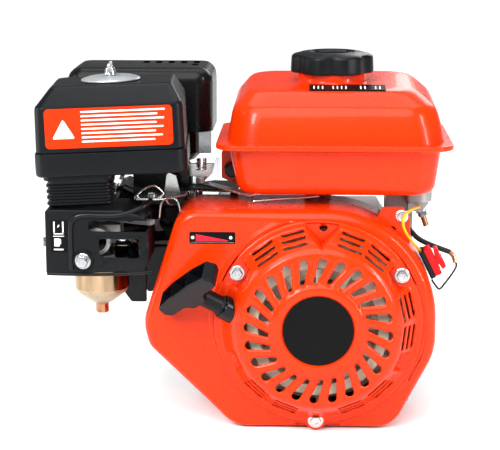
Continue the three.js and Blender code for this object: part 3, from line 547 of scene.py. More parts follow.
def build_starter():
    radii = np.concatenate([np.linspace(34, 45, 12), np.linspace(45.4, 68, 46), np.linspace(68.8, 97, 46)])
    count = 640
    angles = np.linspace(0, TAU, count, endpoint=False)
    R, A = np.meshgrid(radii, angles, indexing="ij")
    X, Z = R * np.cos(A), R * np.sin(A)
    Y = starter_depth(R)
    floor = -141.0
    for x, z in BOLTS[:2]:
        reach = np.hypot(x, z)
        middle = math.atan2(z, x)
        off = np.abs((A - middle + math.pi) % TAU - math.pi) * reach
        pocket = smooth_step(76, 79.5, R - off * 0.25) * (1 - smooth_step(11.5, 14.5, off))
        Y = Y + (floor - Y) * pocket
    for degrees in (-156, -24):
        off = np.abs((A - math.radians(degrees) + math.pi) % TAU - math.pi) * 84
        pocket = smooth_step(78, 82, R) * (1 - smooth_step(8, 11, off)) * 0.75
        Y = Y + (floor - Y) * pocket
        dimple = np.hypot(X - polar(84, degrees)[0], Z - polar(84, degrees)[1])
        Y = Y - 1.4 * (1 - smooth_step(2, 4, dimple))
    valley = np.abs((A - math.radians(88) + math.pi) % TAU - math.pi) * R
    wedge = smooth_step(73.5, 75,
        R - valley * 1.05) * (1 - smooth_step(95, 97, R)) * (1 - smooth_step(15, 17, valley))
    Y = Y + (floor + 3 - Y) * wedge
    air, louvre = starter_slots(X, Z)
    hole = np.hypot(X - 4.2, Z - 90.5) - 3.8
    Y = Y + 1.7 * np.exp(-(np.maximum(air, 0) / 1.3) ** 2) + 0.7 * np.exp(-(np.maximum(louvre,
                                                                                       0) / 0.9) ** 2)
    open_at = np.minimum(np.minimum(air, louvre), hole)
    for sdf in (air, louvre, hole):
        near = (sdf < 0) & (sdf > -0.9)
        du = np.gradient(sdf, axis=0) / np.gradient(radii)[:, None]
        dv = np.gradient(sdf, axis=1) / (radii[:, None] * TAU / count)
        gx = du * np.cos(A) - dv * np.sin(A)
        gz = du * np.sin(A) + dv * np.cos(A)
        X = np.where(near, X - sdf * gx, X)
        Z = np.where(near, Z - sdf * gz, Z)
    points = np.column_stack([X.ravel(), Y.ravel(), Z.ravel() + CRANK.z])
    inside = open_at < -0.02
    faces = []
    for i in range(len(radii) - 1):
        for j in range(count):
            k = (j + 1) % count
            if inside[i, j] and inside[i + 1, j] and inside[i, k] and inside[i + 1, k]:
                continue
            faces.append((i * count + j, i * count + k, (i + 1) * count + k, (i + 1) * count + j))
    used = np.zeros(len(points), bool)
    used[np.unique(np.array(faces))] = True
    index = np.cumsum(used) - 1
    faces = [tuple(index[list(f)]) for f in faces]
    shell = piece("starter_housing_shell", points[used], faces, paint, "orange_paint",
                  stands_for=("starter_housing",), sharp=50)
    add_modifier(shell, "SOLIDIFY", thickness=0.0016, offset=-1)
    rim = spun([(97, 136.2), (97, 139.4), (95.5, 139.6), (93, 136.2)], 160)[0]
    rim_points = np.column_stack([rim[:, 0], -rim[:, 2], rim[:, 1] + CRANK.z])
    piece("starter_rim", rim_points, bridge(np.split(rim_points, 4), closed=True)[1], paint, "orange_paint")
    face = [(0.1, 170.1), (34.3, 170.1), (34.3, 170.9), (33.8, 171.3), (0.1, 171.3)]
    points, faces = spun(face, 96)
    piece("starter_badge", np.column_stack([points[:, 0], -points[:, 2], points[:, 1] + CRANK.z]), faces,
          badge_and_hole_shade,
          "black_plastic")
    for i, (x, z) in enumerate(BOLTS):
        hex_bolt(f"starter_bolt_{i + 1}", (x, -141.4, z + CRANK.z), (0, -1, 0), 5.2, 6, 7.4)
    liner = spun([(70, 96), (103, 96), (103, 94), (70, 94)], 96)[0]
    liner = np.column_stack([liner[:, 0], -liner[:, 2], liner[:, 1] + CRANK.z])
    piece("housing_liner", liner, bridge(np.split(liner, 4), closed=True)[1], enamel, "black_enamel")
    lug = moved(spun([(10, 0), (10, 4.4), (9.3, 5.2), (7, 5.2)], 32),
                placed((-1.6, -135.6, 10.9), (0, -1, 0)))
    piece("starter_lug", *lug, paint, "orange_paint")


# ---- Pull handle ----

PULL = Vector((-0.8065, -0.309, 0.504)).normalized()
GRIP = Vector((0.62, -0.6, 0.5)).normalized()
GRIP_CENTRE = Vector((-120.4, -167.6, 144.5))


def along_pull(distance):
    return GRIP_CENTRE + PULL * distance


def build_handle():
    place = placed(GRIP_CENTRE, PULL, GRIP)
    bar = [(-42, -3, 2), (-37, -9.6, 4), (-15, -9.6, 10), (-9.5, -17, 5), (9.5, -17, 5), (15, -9.6, 10),
           (37, -9.6, 4), (42, -3, 2), (38.6, 6, 1.2), (17, 8.6, 60), (-17, 8.6, 60), (-38.6, 6, 1.2)]
    rings = []
    for y, d in ((10.4, 1.4), (9.9, 0.5), (9, 0), (-9, 0), (-9.9, 0.5), (-10.4, 1.4)):
        run = fillet(inset(bar, d), 5)
        rings.append(np.column_stack([run[:, 0], np.full(len(run), y), run[:, 1]]))
    body = moved(bridge(rings, (True, True)), place)
    stem = moved(spun([(8.6, -12), (8.6, -35), (9.6, -36.3), (9.6, -37.3), (4, -37.4)], 40), place)
    handle = piece("pull_grip", *body, black, "black_plastic", "starter_handle",
                   stands_for=("starter_handle",))
    pockets = []
    for x0, x1 in ((-37, -13.2), (-12, 12), (13.2, 37)):
        pockets.append(moved(box_mesh((x0, -8, -5.5), (x1, 8, 14), 0.5), place))
    carve(handle, pockets)
    piece("pull_stem", *stem, black, "black_plastic", "starter_handle")
    collar = moved(spun([(3.6, -37.9), (10.2, -37.9), (11.3, -39), (11.4, -52.6), (10.5, -53.8),
                         (3.6, -53.8)], 40),
                   place)
    piece("rope_collar", *collar, gloss_black, "black_plastic", stands_for=("rope_guide",))
    route = [along_pull(d) for d in (-36, -38, -40, -44, -48, -53)]
    rope, _ = tube("pull_rope", route, 2.2, cord, "starter_cord", stands_for=("starter_rope",), sides=12)
    matrix = rope.matrix_world.copy()
    rope.parent = None
    rope.matrix_world = matrix
    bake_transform(rope)


# ---- Fuel tank ----

TANK_FLANGE = [(-97, -132, 22), (125, -132, 22), (125, 22, 8), (106, 41, 8), (-78, 41, 8), (-97, 22, 8)]
CAP = (12, -40)


def tank_ring(z, x0, x1, y0, y1, r, tilt=0.0):
    def height(_, y):
        return z + tilt * (y + 92) / 112 * 7.5
    return level(rect(x0, x1, y0, y1, r), height, 12)


def build_tank():
    upper = [(269.3, -87, 118, -121, 33.5, 30), (284, -85, 115.2, -118.6, 33, 30),
             (297.5, -82.6, 111.2, -115.6, 31, 29),
             (303, -80.5, 108.6, -113.5, 30, 28), (306, -78, 105.4, -110.5, 28.5, 27),
             (307, -76.6, 103.8, -108.8, 28, 26),
             (314.5, -69.5, 93.4, -97.5, 22.6, 24), (316.8, -66, 89, -93, 20, 22),
             (317.8, -61, 84, -88, 16, 20),
             (318, -50, 72, -78, 9, 18)]
    rings = [tank_ring(*row, tilt=float(smooth_step(285, 317, row[0]))) for row in upper]
    points, faces = bridge(rings, (False, True))
    piece("tank_upper_shell", points, faces, paint, "orange_paint", stands_for=("fuel_tank_upper",),
          sharp=60)
    lower = [(268, -90, 121, -125, 36, 28), (264.4, -86, 115.4, -120.4, 33.5, 26),
             (262, -84.5, 114, -119.5, 33, 24),
             (236, -79.4, 110.4, -118, 31, 22), (229, -77.6, 109.4, -117, 30, 21),
             (224.6, -75, 107, -114.5, 28, 20),
             (222, -70.5, 103, -110.5, 25, 18), (221.2, -64, 97, -105, 20, 16),
             (221.1, -54, 84, -92, 12, 12)]
    points, faces = bridge([tank_ring(*row) for row in lower[::-1]], (True, False))
    piece("tank_lower_shell", points, faces, paint, "orange_paint", stands_for=("fuel_tank_lower",),
          sharp=60)
    rings = [level(inset(TANK_FLANGE, d), z, 10) for z, d in (
        (268.3, 12), (266.4, 2.4), (266.1, 1.2), (266.5, 0.3), (268, 0), (269.8, 0), (270.6, 0.5),
        (270.9, 1.6),
        (270.9, 14))]
    piece("tank_seam", *bridge(rings, (True, True)), paint, "orange_paint", sharp=50)
    place = Matrix.Translation((*CAP, 0))
    neck = spun([(42, 318), (37, 319.2), (34.2, 321), (32.6, 323.4), (32.4, 329), (33.4, 329.8),
                 (33.4, 331), (30, 331.2)],
                72)
    piece("tank_neck", *moved(neck, place), paint, "orange_paint", sharp=60)
    build_cap(place)
    mark = Matrix.Translation((0, -82.5, 319.7)) @ Matrix.Rotation(math.radians(9), 4, "X")
    piece("tank_mark", *moved(slab(rect(-10, 62, -8.5, 10, 1), -2, 0.5, 0.15), mark), badge_and_hole_shade,
          "black_plastic")
    ticks = [moved(slab(rect(x, x + 1.2, -5.6, 4.2, 0.3), 0.48, 0.62, 0.05, 2), mark)
             for x in (-6, -2, 2, 12, 16, 20, 24, 38, 42, 52, 56)]
    piece("tank_mark_ticks", *join_meshes(*ticks), white, "plug_ceramic")


def build_cap(place):
    def lobes(angle, z):
        depth = 0.11 * (1 - smooth_step(346.4, 350, z))
        return 1 - depth * (0.5 - 0.5 * math.cos(6 * angle)) ** 2
    profile = [(34.6, 331), (38.8, 330.4), (39.9, 331.4), (40, 334), (39.5, 344.4), (38.9, 346.2),
               (37, 347.8),
               (30, 349.6), (24, 350.5), (22, 350.5), (21.4, 349.3), (19, 348.9), (3, 348.9)]
    points, faces = spun(profile, 192, lobes)
    piece("cap_shell", *moved((points, faces), place), black, "black_plastic", "fuel_cap",
          stands_for=("fuel_cap",),
          sharp=40)
    grips = [moved(box_mesh((-16 + abs(i) * 3, i * 7 - 1.6, 349), (16 - abs(i) * 3, i * 7 + 1.6, 350.7),
                            0.5), place)
             for i in (-1, 0, 1)]
    piece("cap_bars", *join_meshes(*grips), black, "black_plastic", "fuel_cap")


# ---- Air cleaner ----

CLEANER = (Matrix.Translation((-194, -90, 245.3)) @ Matrix.Rotation(math.radians(-2.2), 4, "Y")
           @ Matrix.Rotation(math.radians(3), 4, "Z"))


def build_air_cleaner():
    band = rect(-70.5, 70.5, -60, 60, 13)
    steps = [(0, 5), (0.4, 1.6), (1.6, 0.4), (4, 0), (20.6, 0), (22, 0.4), (22.4, 1.4), (22.5, 3.4)]
    tray = bridge([level(inset(band, d), z, 8) for z, d in steps], (True, True))
    parts = [tray]
    for x0, x1, y0, y1, low in ((-62, 0, -52, -8, -3.5),):
        parts.append(bridge([level(rect(x0 - 2, x1 + 2, y0 - 2, y1 + 2, 9), z) for z in (low, 0.5)],
                            (True, True)))
        profile = [(-3.5, 1)]
        for i in range(4):
            z = -5 - i * 5.6
            profile += [(z - 0.6, 2), (z - 2.2, 2), (z - 3.2, 0.4), (z - 4.6, 0.2), (z - 5.4, 1)]
        profile.append((-29, 3))
        parts.append(bridge([level(inset(rect(x0 - 0.5, x1 + 0.5, y0 - 0.5, y1 + 0.5, 9), d), z) for z,
                             d in profile],
                            (True, True)))
    piece("cleaner_tray", *moved(join_meshes(*parts), CLEANER), black, "black_plastic",
          stands_for=("air_cleaner_case",))
    rows = [(22.8, 0.6, 0.6, 0.6, 0.6, 9), (24, 0, 0, 0, 0, 9), (62, 0.8, 0.5, 0.5, 0.8, 9),
            (65, 1.4, 1.0, 1.2, 1.4, 9), (66.6, 3, 2, 3, 2.6, 8), (79.4, 13.6, 9.4, 21, 11, 6),
            (80.9, 15.6, 11, 23.4, 13, 6), (81.5, 18.6, 13.6, 27, 16, 6)]
    rings = [level(rect(-68.8 + left, 68.8 - right, -58.3 + front, 58.3 - rear, r), z, 8)
             for z, left, right, front, rear, r in rows]
    piece("cleaner_cover_shell", *moved(bridge(rings, (True, True)), CLEANER), black, "black_plastic",
          stands_for=("air_cleaner_cover",))
    sticker = moved(plate(rect(-58.5, 58.5, 27, 63.6, 4), -58.9, -57.4, 0.15), CLEANER)
    piece("cleaner_sticker", *sticker, label, "orange_paint")
    lines = [plate(rect(-25, 52 - (i * 7) % 13, 59.4 - i * 3.9, 60.9 - i * 3.9, 0.4), -59.02, -58.8, 0.05,
                   2)
             for i in range(8)]
    piece("sticker_lines", *moved(join_meshes(*lines), CLEANER), white, "plug_ceramic")
    sign = plate([(-52, 36, 1), (-31, 36, 1), (-41.5, 54, 1)], -59.02, -58.8, 0.05, 3)
    piece("sticker_sign", *moved(sign, CLEANER), white, "plug_ceramic")
    dish = spun([(26, 82), (27.6, 82.2), (28, 83), (27.4, 84), (25.8, 84.6), (21, 86), (17, 86.4),
                 (9, 86.4),
                 (8, 86.1), (3.4, 86.1)], 72)
    piece("cover_dish", *moved(dish, CLEANER), pale_zinc, "zinc_plate", stands_for=("cover_plate",))
    build_wing_nut()


def build_wing_nut():
    hub = spun([(5.9, 87), (6, 88), (5.2, 90), (4.6, 93), (4.2, 93.6), (3.3, 93.6)], 32)
    wings = []
    for side in (-1, 1):
        shape = [(side * 3, 88, 0.8), (side * 9, 89.5, 3), (side * 14, 94.5, 3), (side * 13.6, 98.8, 2.4),
                 (side * 9.5, 98.6, 3), (side * 4.2, 93.4, 1)]
        wings.append(plate(shape if side > 0 else shape[::-1], -1.5, 1.5, 0.6, 4))
    crosswise = CLEANER @ Matrix.Rotation(math.radians(90), 4, "Z")
    piece("wing_nut_cast", *moved(join_meshes(hub, *wings), crosswise), zinc, "zinc_plate", "wing_nut",
          stands_for=("wing_nut",))
    stud = spun([(2.9, 84), (2.9, 95.4), (2.3, 96.2)], 20)
    piece("cleaner_stud", *moved(stud, CLEANER), zinc, "zinc_plate")


# ---- Carburettor ----

CARB = (-207, -105)


def build_bowl():
    place = Matrix.Translation((*CARB, 0))
    can = spun([(25.9, 131), (26, 132), (26, 150), (25.6, 151), (25.6, 155), (26, 156), (26, 162.6),
                (24, 162.7)], 72)
    piece("bowl_can", *moved(can, place), gold, "yellow_zinc", stands_for=("float_bowl",))
    cone = spun([(9.4, 116.2), (10.4, 116.6), (13, 118.6), (22.6, 125.6), (24.8, 128.4), (25.9, 131.2),
                 (24, 131.4)], 72)
    piece("bowl_cone", *moved(cone, place), cream, "yellow_zinc")
    hex_bolt("bowl_drain_hex", (*CARB, 116.1), (0, 0, -1), 6.2, 10.8, 7, copper, "yellow_zinc",
             recess=False)
    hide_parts("bowl_drain_bolt")


def build_carb_cover():
    body = [(-253.5, 151.5, 3), (-158, 156, 10), (-157, 178, 3), (-159, 207, 12), (-182, 213, 20),
            (-253.5, 213.3, 3)]
    shell = piece("carb_cover_shell", *plate(body, -148.6, -85, 1.2), black, "black_plastic",
                  stands_for=("carb_cover",))
    hollow = plate(inset(body, 2.5), -146, -80, 0.4)
    window = plate(rect(-204, -166, 168, 186.5, 3), -160, -120, 0.1)
    lever_way = plate(rect(-213, -140, 192.8, 203.4, 1.5), -160, -100, 0.1)
    bowl_way = moved(spun([(28, 140), (28, 160)], 40), Matrix.Translation((*CARB, 0)))
    carve(shell, [hollow, window, lever_way, bowl_way])
    ridge = [(-229.6, -148.4, 157), (-229.8, -148.6, 175), (-229.4, -148.6, 198), (-226, -148.6, 205.5),
             (-217, -148.6, 208.2), (-196, -148.6, 208), (-180, -147.6, 209.4), (-164, -142, 215),
             (-156, -132, 220)]
    tube("cover_moulding", ridge, 2.6, gloss_black, "black_plastic", sides=14)
    lip = [(-252.6, -147.4, 152.4), (-230, -148.4, 152.2), (-200, -148.4, 152.4), (-170, -148.2, 153.8),
           (-155, -146.5, 155)]
    tube("cover_lip", lip, 1.5, black, "black_plastic", sides=12)
    boss = spun([(10.6, -4), (10.4, 1.4), (9.4, 2.6), (7.6, 2.6)], 40)
    piece("cover_boss", *moved(boss, placed((-218.4, -148, 165.5), (0, -1, 0))), black, "black_plastic")
    web = plate([(-217, 157, 3), (-199, 160, 4), (-199, 170, 4), (-217, 175, 3)], -149.6, -147, 1)
    piece("cover_boss_web", *web, black, "black_plastic")
    hex_bolt("cover_bolt", (-218.4, -150.4, 165.5), (-0.12, -1, 0), 5.6, 6.5, 7.4)
    hex_bolt("cover_side_bolt", (-255, -120, 176.7), (-1, -0.3, 0.1), 5, 6, 6.6)
    panel = plate(rect(-248.6, -232.6, 173, 203.6, 0.8), -148.95, -148.4, 0.1, 3)
    piece("icon_panel", *panel, badge_and_hole_shade, "black_plastic")
    build_icons()
    frame_bars = [plate(rect(-205.6, -164.5, 186.2, 188.4, 0.8), -149.4, -147.6, 0.4, 2),
                  plate(rect(-206, -203.6, 166, 188, 0.8), -149.4, -147.6, 0.4, 2),
                  plate(rect(-205.6, -164.5, 165.6, 168, 0.8), -149.4, -147.6, 0.4, 2)]
    piece("window_frame", *join_meshes(*frame_bars), black, "black_plastic")


def build_icons():
    """Plain choke and fuel pictograms, made of bars."""
    bars = [(-245.6, -244.4, 192, 202.4), (-237.4, -236.2, 192, 202.4), (-245.6, -236.2, 190.4, 191.2),
            (-246.2, -235.6, 188.2, 188.9), (-245, -240, 179, 186.4), (-239.6, -238.8, 181, 186),
            (-245.6, -236.6, 175.4, 176.6)]
    parts = [plate(rect(x0, x1, z0, z1, 0.2), -149.08, -148.85, 0.04, 2) for x0, x1, z0, z1 in bars]
    parts.append(plate([(-242.6, 195, 0.2), (-239.6, 198.8, 0.2), (-241, 199.6, 0.2)], -149.08, -148.85,
                       0.04, 2))
    piece("icon_bars", *join_meshes(*parts), white, "plug_ceramic")


def build_choke():
    turn = Matrix.Translation((*CARB, 0)) @ Matrix.Rotation(math.radians(-21), 4, "Z")
    arm = slab([(0, -4, 2), (28, -3, 2), (36, -4.6, 1.4), (55, -4.6, 1.4), (55, 4.6, 1.4), (36, 4.6, 1.4),
                (28, 3, 2),
                (0, 4, 2)], 195.2, 197.4, 0.4, 3)
    tip = box_mesh((36, -4.8, 195), (55.4, 4.8, 199.4), 0.8)
    hub = spun([(8, 194.7), (8, 198.6), (7.4, 199.4), (4.4, 199.4)], 32)
    piece("choke_arm", *moved(join_meshes(arm, tip, hub), turn), grey, "zinc_plate", "choke_lever",
          stands_for=("choke_lever",))


def build_carb_details():
    place = placed((-184, -118, 176.5), (0, -0.15, 1))
    cup = spun([(13.5, -12), (14, -10), (14, 1), (14.6, 2), (14.6, 3.4), (12.6, 4.4), (11, 6.5), (4, 7)],
               48)
    piece("choke_cup", *moved(cup, place), chrome, "zinc_plate")
    ring = spun([(14.4, 1.6), (15.3, 2.2), (15.3, 3), (14.4, 3.6)], 48)
    piece("choke_cup_ring", *moved(ring, place), gold, "yellow_zinc")
    lever = join_meshes(spun([(7.8, 0), (8, 0.8), (8, 5.4), (7.2, 6.1), (2, 6.1)], 32),
                        moved(box_mesh((0, -3.4, 2.6), (17.8, 3.4, 6.1), 0.6), Matrix()))
    piece("fuel_tap_lever", *moved(lever, placed((-177, -118.4, 175), (0, -1, 0))), gloss_black,
          "black_plastic",
          "fuel_valve_lever", stands_for=("fuel_valve_lever",))
    bracket = plate([(-167, 118, 3), (-150, 122, 2), (-143, 164, 2), (-167, 164, 2)], -78, -66, 1)
    piece("side_shroud", *bracket, enamel, "black_enamel")
    stay = plate([(-204, 136, 3), (-183, 106, 3), (-168, 106, 2), (-168, 152, 2), (-204, 152, 2)], -68,
                 -64, 0.8)
    piece("cover_stay", *stay, enamel, "black_enamel")


# ---- Muffler guard ----


def build_guard():
    corners = rect(-254, -107, 3, 101, 17)
    steps = [(264, 0), (312, 0), (318, 0.6), (322, 2.6), (325.4, 6), (327, 9), (327.6, 13)]
    points, faces = bridge([level(inset(corners, d), z, 8) for z, d in steps], (False, True))
    guard = piece("guard_shell", points, faces, enamel, "black_enamel", stands_for=("muffler_guard",),
                  sharp=40)
    add_modifier(guard, "SOLIDIFY", thickness=0.0018, offset=-1)
    cuts = [slab(rect(x, x + 6.4, 60, 90, 1), 310, 340, 0.1, 2) for x in (-182, -169, -156, -143, -130)]
    cuts.append(slab(rect(-130, -123.6, 38, 54, 1), 310, 340, 0.1, 2))
    cuts += [moved(spun([(11, 0), (11, 30)], 32), Matrix.Translation((x, y, 321))) for x,
             y in ((-206, 62), (-163, 34))]
    outlet = moved(spun([(12, 0), (12, 30)], 32), placed((-222, 88, 290), (0, 1, 0)))
    carve(guard, cuts + [outlet])
    for i, (x, y) in enumerate(((-206, 62), (-163, 34))):
        dish = spun([(11.6, 327.6), (11, 327.4), (10.4, 324), (8, 322.4), (2, 322)], 40)
        piece(f"guard_dish_{i + 1}", *moved(dish, Matrix.Translation((x, y, 0))), enamel, "black_enamel")
        hex_bolt(f"guard_screw_{i + 1}", (x, y, 322.2), (0, 0, 1), 4, 3.4, 6)
    panel = plate(rect(-122, -109, 240, 300, 1), 20, 22, 0.4)
    piece("heat_panel", *panel, zinc, "zinc_plate")


# ---- Stop switch, wiring and brackets ----

# The switch sits on the housing's rounded right side: the middle and radius of that arc, and the slope on it.
SWITCH_ARC_X, SWITCH_ARC_Z, SWITCH_ARC_RADIUS = 7, 107, 104
SWITCH_SLOPE = math.radians(26)
SWITCH = (Matrix.Translation((SWITCH_ARC_X + SWITCH_ARC_RADIUS * math.cos(SWITCH_SLOPE), -95,
                              SWITCH_ARC_Z + SWITCH_ARC_RADIUS * math.sin(SWITCH_SLOPE)))
          @ Matrix.Rotation(-SWITCH_SLOPE, 4, "Y"))


def build_switch():
    base = box_mesh((0.6, -12, -14), (5.9, 12, 14), 1)
    collar = box_mesh((5, -9, -8), (6.4, 9, 8), 0.4)
    piece("switch_base", *moved(join_meshes(base, collar), SWITCH), gloss_black, "black_plastic",
          stands_for=("stop_switch_body",))
    case = plate([(5.8, -12.9, 1), (11.8, -12.9, 1), (11.8, 12.9, 1), (5.8, 12.9, 1)][::-1], -9.2, 9.2,
                 0.8, 4)
    piece("switch_case", *moved(case, SWITCH), red, "red_plastic")
    rocker = plate([(12.4, 0, 1), (14.6, -10.6, 1), (18.8, -9.4, 1.4), (18.6, 0.2, 1), (17.2, 1.6, 1),
                    (19, 9.6, 1.4),
                    (14.6, 10.6, 1)], -8.9, 8.9, 0.8, 4)
    piece("switch_rocker", *moved(rocker, SWITCH), red, "red_plastic", "stop_switch_rocker",
          stands_for=("stop_switch_rocker",))
    yellow_route = [(97.3, -66, 202.3), (92, -86, 205.2), (85.6, -104, 205.9), (81, -113.5, 203.6),
                    (79, -115, 197.2), (81, -113, 188.8), (87.6, -107, 178), (95, -99, 168.4),
                    (99, -95.5, 162)]
    tube("wire_yellow", yellow_route, 1.3, yellow, "yellow_wire", stands_for=("switch_wire_yellow",))
    black_route = [(84, -72, 185), (89.4, -74, 180), (96.4, -76, 173.3), (108.1, -78, 167.8),
                   (126.8, -80, 161.2),
                   (131, -82, 154.5), (132.6, -84, 148.9), (129, -87, 142.4), (122, -90, 133.4),
                   (116.2, -92, 127.6),
                   (111.4, -93, 132.8), (108.6, -93, 137)]
    tube("wire_black", black_route, 1.0, rubber, "black_rubber", stands_for=("switch_wire_black",))
    tube("wire_sleeve", black_route[:5], 2.5, rubber, "black_rubber")
    tube("wire_joint", [(126, -80, 161.6), (129.6, -81.2, 158), (131, -82, 154.5), (131.8, -82.8, 151.6)],
         2.3,
         copper, "yellow_zinc")


def build_brackets():
    ear = plate([(52, 192, 2), (84, 166, 4), (87, 178, 3), (86, 200, 7), (79, 209.4, 6), (60, 209.4, 3)],
                -103, -100.5,
                0.8)
    piece("ear_plate", *ear, paint, "orange_paint")
    hex_bolt("ear_bolt", (78.2, -103, 200.6), (0, -1, 0), 4.6, 5.4, 6.2)
    # Painted shade: a thin black disc on the ear plate stands in for the dark hole through it.
    dimple = moved(spun([(0.4, 0), (3.6, 0), (3.6, 0.5), (3, 0.7), (0.4, 0.7)], 24),
                   placed((69.6, -103, 187.4), (0, -1, 0)))
    piece("ear_hole_shade", *dimple, badge_and_hole_shade, "black_plastic")
    boss = slab([(84, -68, 4), (102, -70, 8), (109.6, -60, 6), (109.6, -46, 6), (84, -46, 3)], 207, 219.6,
                1.2)
    under = plate([(86, 199, 2), (99, 197, 3), (108, 208.4, 2), (86, 208.4, 1)], -66, -50, 0.6)
    piece("tank_boss", *join_meshes(boss, under), cast, "cast_aluminium")
    hex_bolt("boss_nut", (99.4, -60, 198), (0.35, -0.2, -1), 4.4, 6, 5.4)
    stud = spun([(2.8, 4), (2.8, 15), (2.2, 16)], 20)
    piece("boss_stud", *moved(stud, placed((99.4, -60, 198), (0.35, -0.2, -1))), copper, "yellow_zinc")


def coil_route(start, end, radius, turns, per_turn=10):
    start, end = Vector(start), Vector(end)
    place = placed(start, end - start)
    length = (end - start).length
    count = turns * per_turn
    return [place @ Vector((radius * math.cos(TAU * i / per_turn), radius * math.sin(TAU * i / per_turn),
                            length * i / count)) for i in range(count + 1)]


def build_linkage():
    tube("throttle_spring", coil_route((-150, -70, 212), (-118, -58, 214), 2.6, 12), 0.5, zinc,
         "zinc_plate", sides=6,
         steps=2)
    tube("link_wire", [(-176, -92, 214), (-168, -88, 222), (-158, -80, 224), (-150, -74, 216),
                       (-146, -70, 206),
                       (-142, -68, 203)], 1.1, zinc, "zinc_plate")
    tube("link_fork", [(-152, -96, 196), (-150, -95, 210), (-144, -92, 214), (-138, -92, 214),
                       (-134, -94, 210),
                       (-131, -96, 197)], 1.0, zinc, "zinc_plate")
    bracket = slab([(-176, -104, 3), (-146, -100, 4), (-128, -78, 4), (-128, -60, 3), (-168, -66, 4)], 214,
                   215.8, 0.5)
    piece("link_bracket", *bracket, zinc, "zinc_plate")
    upright_tab = plate([(-150, 214, 1), (-134, 214, 1), (-138, 232, 3), (-147, 236, 3)], -67, -65.2, 0.4)
    piece("link_tab", *upright_tab, zinc, "zinc_plate")
    hex_bolt("link_screw", (-160, -86, 215.8), (0, 0, 1), 3.4, 3, 4.6)
    hook = [(-64, -96, 208.4), (-63.8, -97, 211.4), (-61.4, -98, 213), (-56, -98, 213.6), (-40, -97, 215),
            (-18, -96, 216.4), (0, -94, 217.8)]
    tube("lever_hook", hook, 1.5, chrome, "zinc_plate", sides=12)
    knob = spun([(6.6, 0), (7.4, 1), (7.4, 9), (6.4, 11), (3, 11.4)], 40)
    piece("side_knob", *moved(knob, placed((-85, -50, 236.4), (0.1, -1, 0))), gloss_black, "black_plastic")
    stay = plate([(-95, 227, 2), (-70, 217, 2), (-70, 255, 3), (-95, 255, 4)], -49.6, -47.6, 0.6)
    piece("tank_stay", *stay, paint, "orange_paint")
    back = plate([(-182, 196, 3), (-134, 193, 3), (-127, 212, 3), (-127, 236, 3), (-182, 236, 3)], -48,
                 -46, 0.6)
    piece("intake_shroud", *back, enamel, "black_enamel")
    tube("idle_spring", coil_route((-113, -72, 238), (-113, -72, 250), 4.6, 7), 0.6, chrome, "zinc_plate",
         sides=6,
         steps=2)
    arm = plate([(-112, 226.6, 1), (-96, 229, 2), (-95.4, 252, 2), (-99, 250, 2), (-103, 236, 3)], -72,
                -70.4, 0.4)
    piece("link_arm", *arm, chrome, "zinc_plate")


def build_lead():
    """The plug cap and its lead, over the CAD route."""
    turn = Matrix.Rotation(math.radians(-65), 4, "Y")
    base, lean = Vector((24, 0, 155)), Vector((math.cos(math.radians(35)), 0, math.sin(math.radians(35))))

    def on_plug(distance):
        return turn @ (base + lean * distance) + CRANK
    cap = spun([(6.8, 21), (8.9, 21.4), (9, 24), (8.4, 26), (8.4, 36), (9, 38), (8, 42), (5, 44)], 36)
    piece("plug_cap", *moved(cap, placed(on_plug(0), turn @ lean)), rubber, "black_rubber",
          stands_for=("ignition_lead",))
    route = [on_plug(40), (-142, -20, 222), (-138, -38, 206), (-121, -54, 201.5), (-104, -57, 199),
             (-80, -72, 202), (-62, -90, 202.3), (-47, -91, 202.3)]
    tube("plug_lead", route, 3.2, rubber, "black_rubber")


# ---- Output side ----


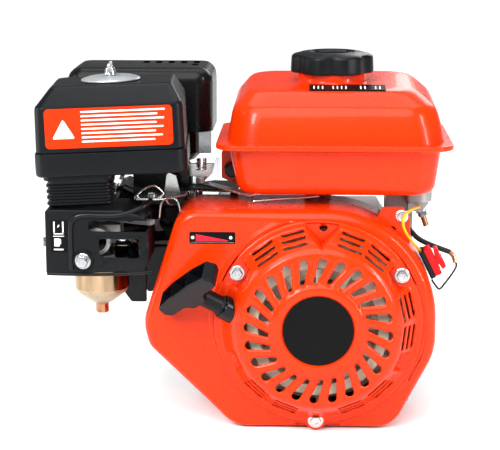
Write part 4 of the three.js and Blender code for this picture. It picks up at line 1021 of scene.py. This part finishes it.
def build_output_side():
    points = [(66, -48), (68, 20), (50, 72), (-30, 76), (-72, 30), (-84, -44), (-30, -88), (30, -88)]
    for i, (x, z) in enumerate(points):
        hex_bolt(f"side_bolt_{i + 1}", (x, 57.4, z + CRANK.z), (0, 1, 0), 4.6, 5, 6.4)
    hole = spun([(5.6, -0.02), (5.2, 0.25), (4.3, 0.3), (3.9, 0.05), (3.8, 0.06)], 32)
    for i in range(4):
        x, z = polar(46.05, 45 + 90 * i)
        piece(f"tapped_rim_{i + 1}", *moved(hole, placed((x, 75.02, z + CRANK.z), (0, 1, 0))), steel,
              "steel")
        # Painted shade: a black disc inside each tapped rim stands in for the dark depth of the threaded
        # hole.
        plug = spun([(3.85, 0.02), (3.8, 0.12), (0.3, 0.14)], 24)
        piece(f"tapped_hole_shade_{i + 1}", *moved(plug, placed((x, 75.02, z + CRANK.z), (0, 1, 0))), badge_and_hole_shade,
              "black_plastic")
    seal = spun([(17, 0), (17, 1.4), (15.6, 2), (12.4, 1.6), (10.6, 0.4)], 48)
    piece("shaft_seal", *moved(seal, placed((0, 74.9, CRANK.z), (0, 1, 0))), rubber, "black_rubber")
    key = box_mesh((-2.9, 98, 7.2), (2.9, 134, 12.4), 0.5)
    turn = Matrix.Translation(CRANK) @ Matrix.Rotation(math.radians(-65), 4, "Y")
    piece("shaft_key", *moved(key, turn), steel, "steel", "crank_train")
    hex_bolt("oil_drain", (20, 57.4, 18), (0, 1, 0), 6, 6, 8.4)
    for i, (y, z) in enumerate(((-24, 133.5), (24, 133.5))):
        hex_bolt(f"head_bolt_{i + 1}", tuple(cylinder_point(40, y * 1.4, 150)), tuple(cylinder_axis()),
                 4.8, 5, 6.4)
    for i, (n, y) in enumerate(((-60, -27), (-60, 27), (12, -27), (12, 27))):
        hex_bolt(f"rocker_bolt_{i + 1}", tuple(cylinder_point(n, y, 226)), tuple(cylinder_axis()), 3.8,
                 4.4, 5.4)


def cylinder_axis():
    return Matrix.Rotation(math.radians(-65), 3, "Y") @ Vector((0, 0, 1))


def cylinder_point(across, y, along):
    return Matrix.Rotation(math.radians(-65), 3, "Y") @ Vector((across, y, along)) + CRANK


# ---- CAD nodes that stay ----


def dress_cad():
    slots = {part["node"]: part["material_slot"] for part in frame["record"]["subparts"]}
    for name, obj in frame["nodes"].items():
        obj.data.materials.clear()
        obj.data.materials.append(CAD_FINISH[slots[name]])
        add_modifier(obj, "WELD", merge_threshold=0.00001)
        add_modifier(obj, "BEVEL", width=0.0004, segments=2, limit_method="ANGLE",
                     angle_limit=math.radians(40))


def build_floor():
    mesh = bpy.data.meshes.new("floor")
    reach = 40
    mesh.from_pydata([(-reach, -reach, 0), (reach, -reach, 0), (reach, reach, 0), (-reach, reach, 0)], [],
                     [(0, 1, 2, 3)])
    floor = bpy.data.objects.new("floor", mesh)
    bpy.context.collection.objects.link(floor)
    mesh.materials.append(finish("floor_white", (0.92, 0.92, 0.92), rough=0.8, vary=0.01, bump=0.0,
                                 shine=0))


bpy.context.scene.view_settings.view_transform = "Standard"
add_camera()
add_lights()
build_floor()
dress_cad()
build_fan_cover()
build_throttle_decal()
build_starter()
build_handle()
build_tank()
build_air_cleaner()
build_bowl()
build_carb_cover()
build_choke()
build_carb_details()
build_guard()
build_switch()
build_brackets()
build_linkage()
build_lead()
build_output_side()
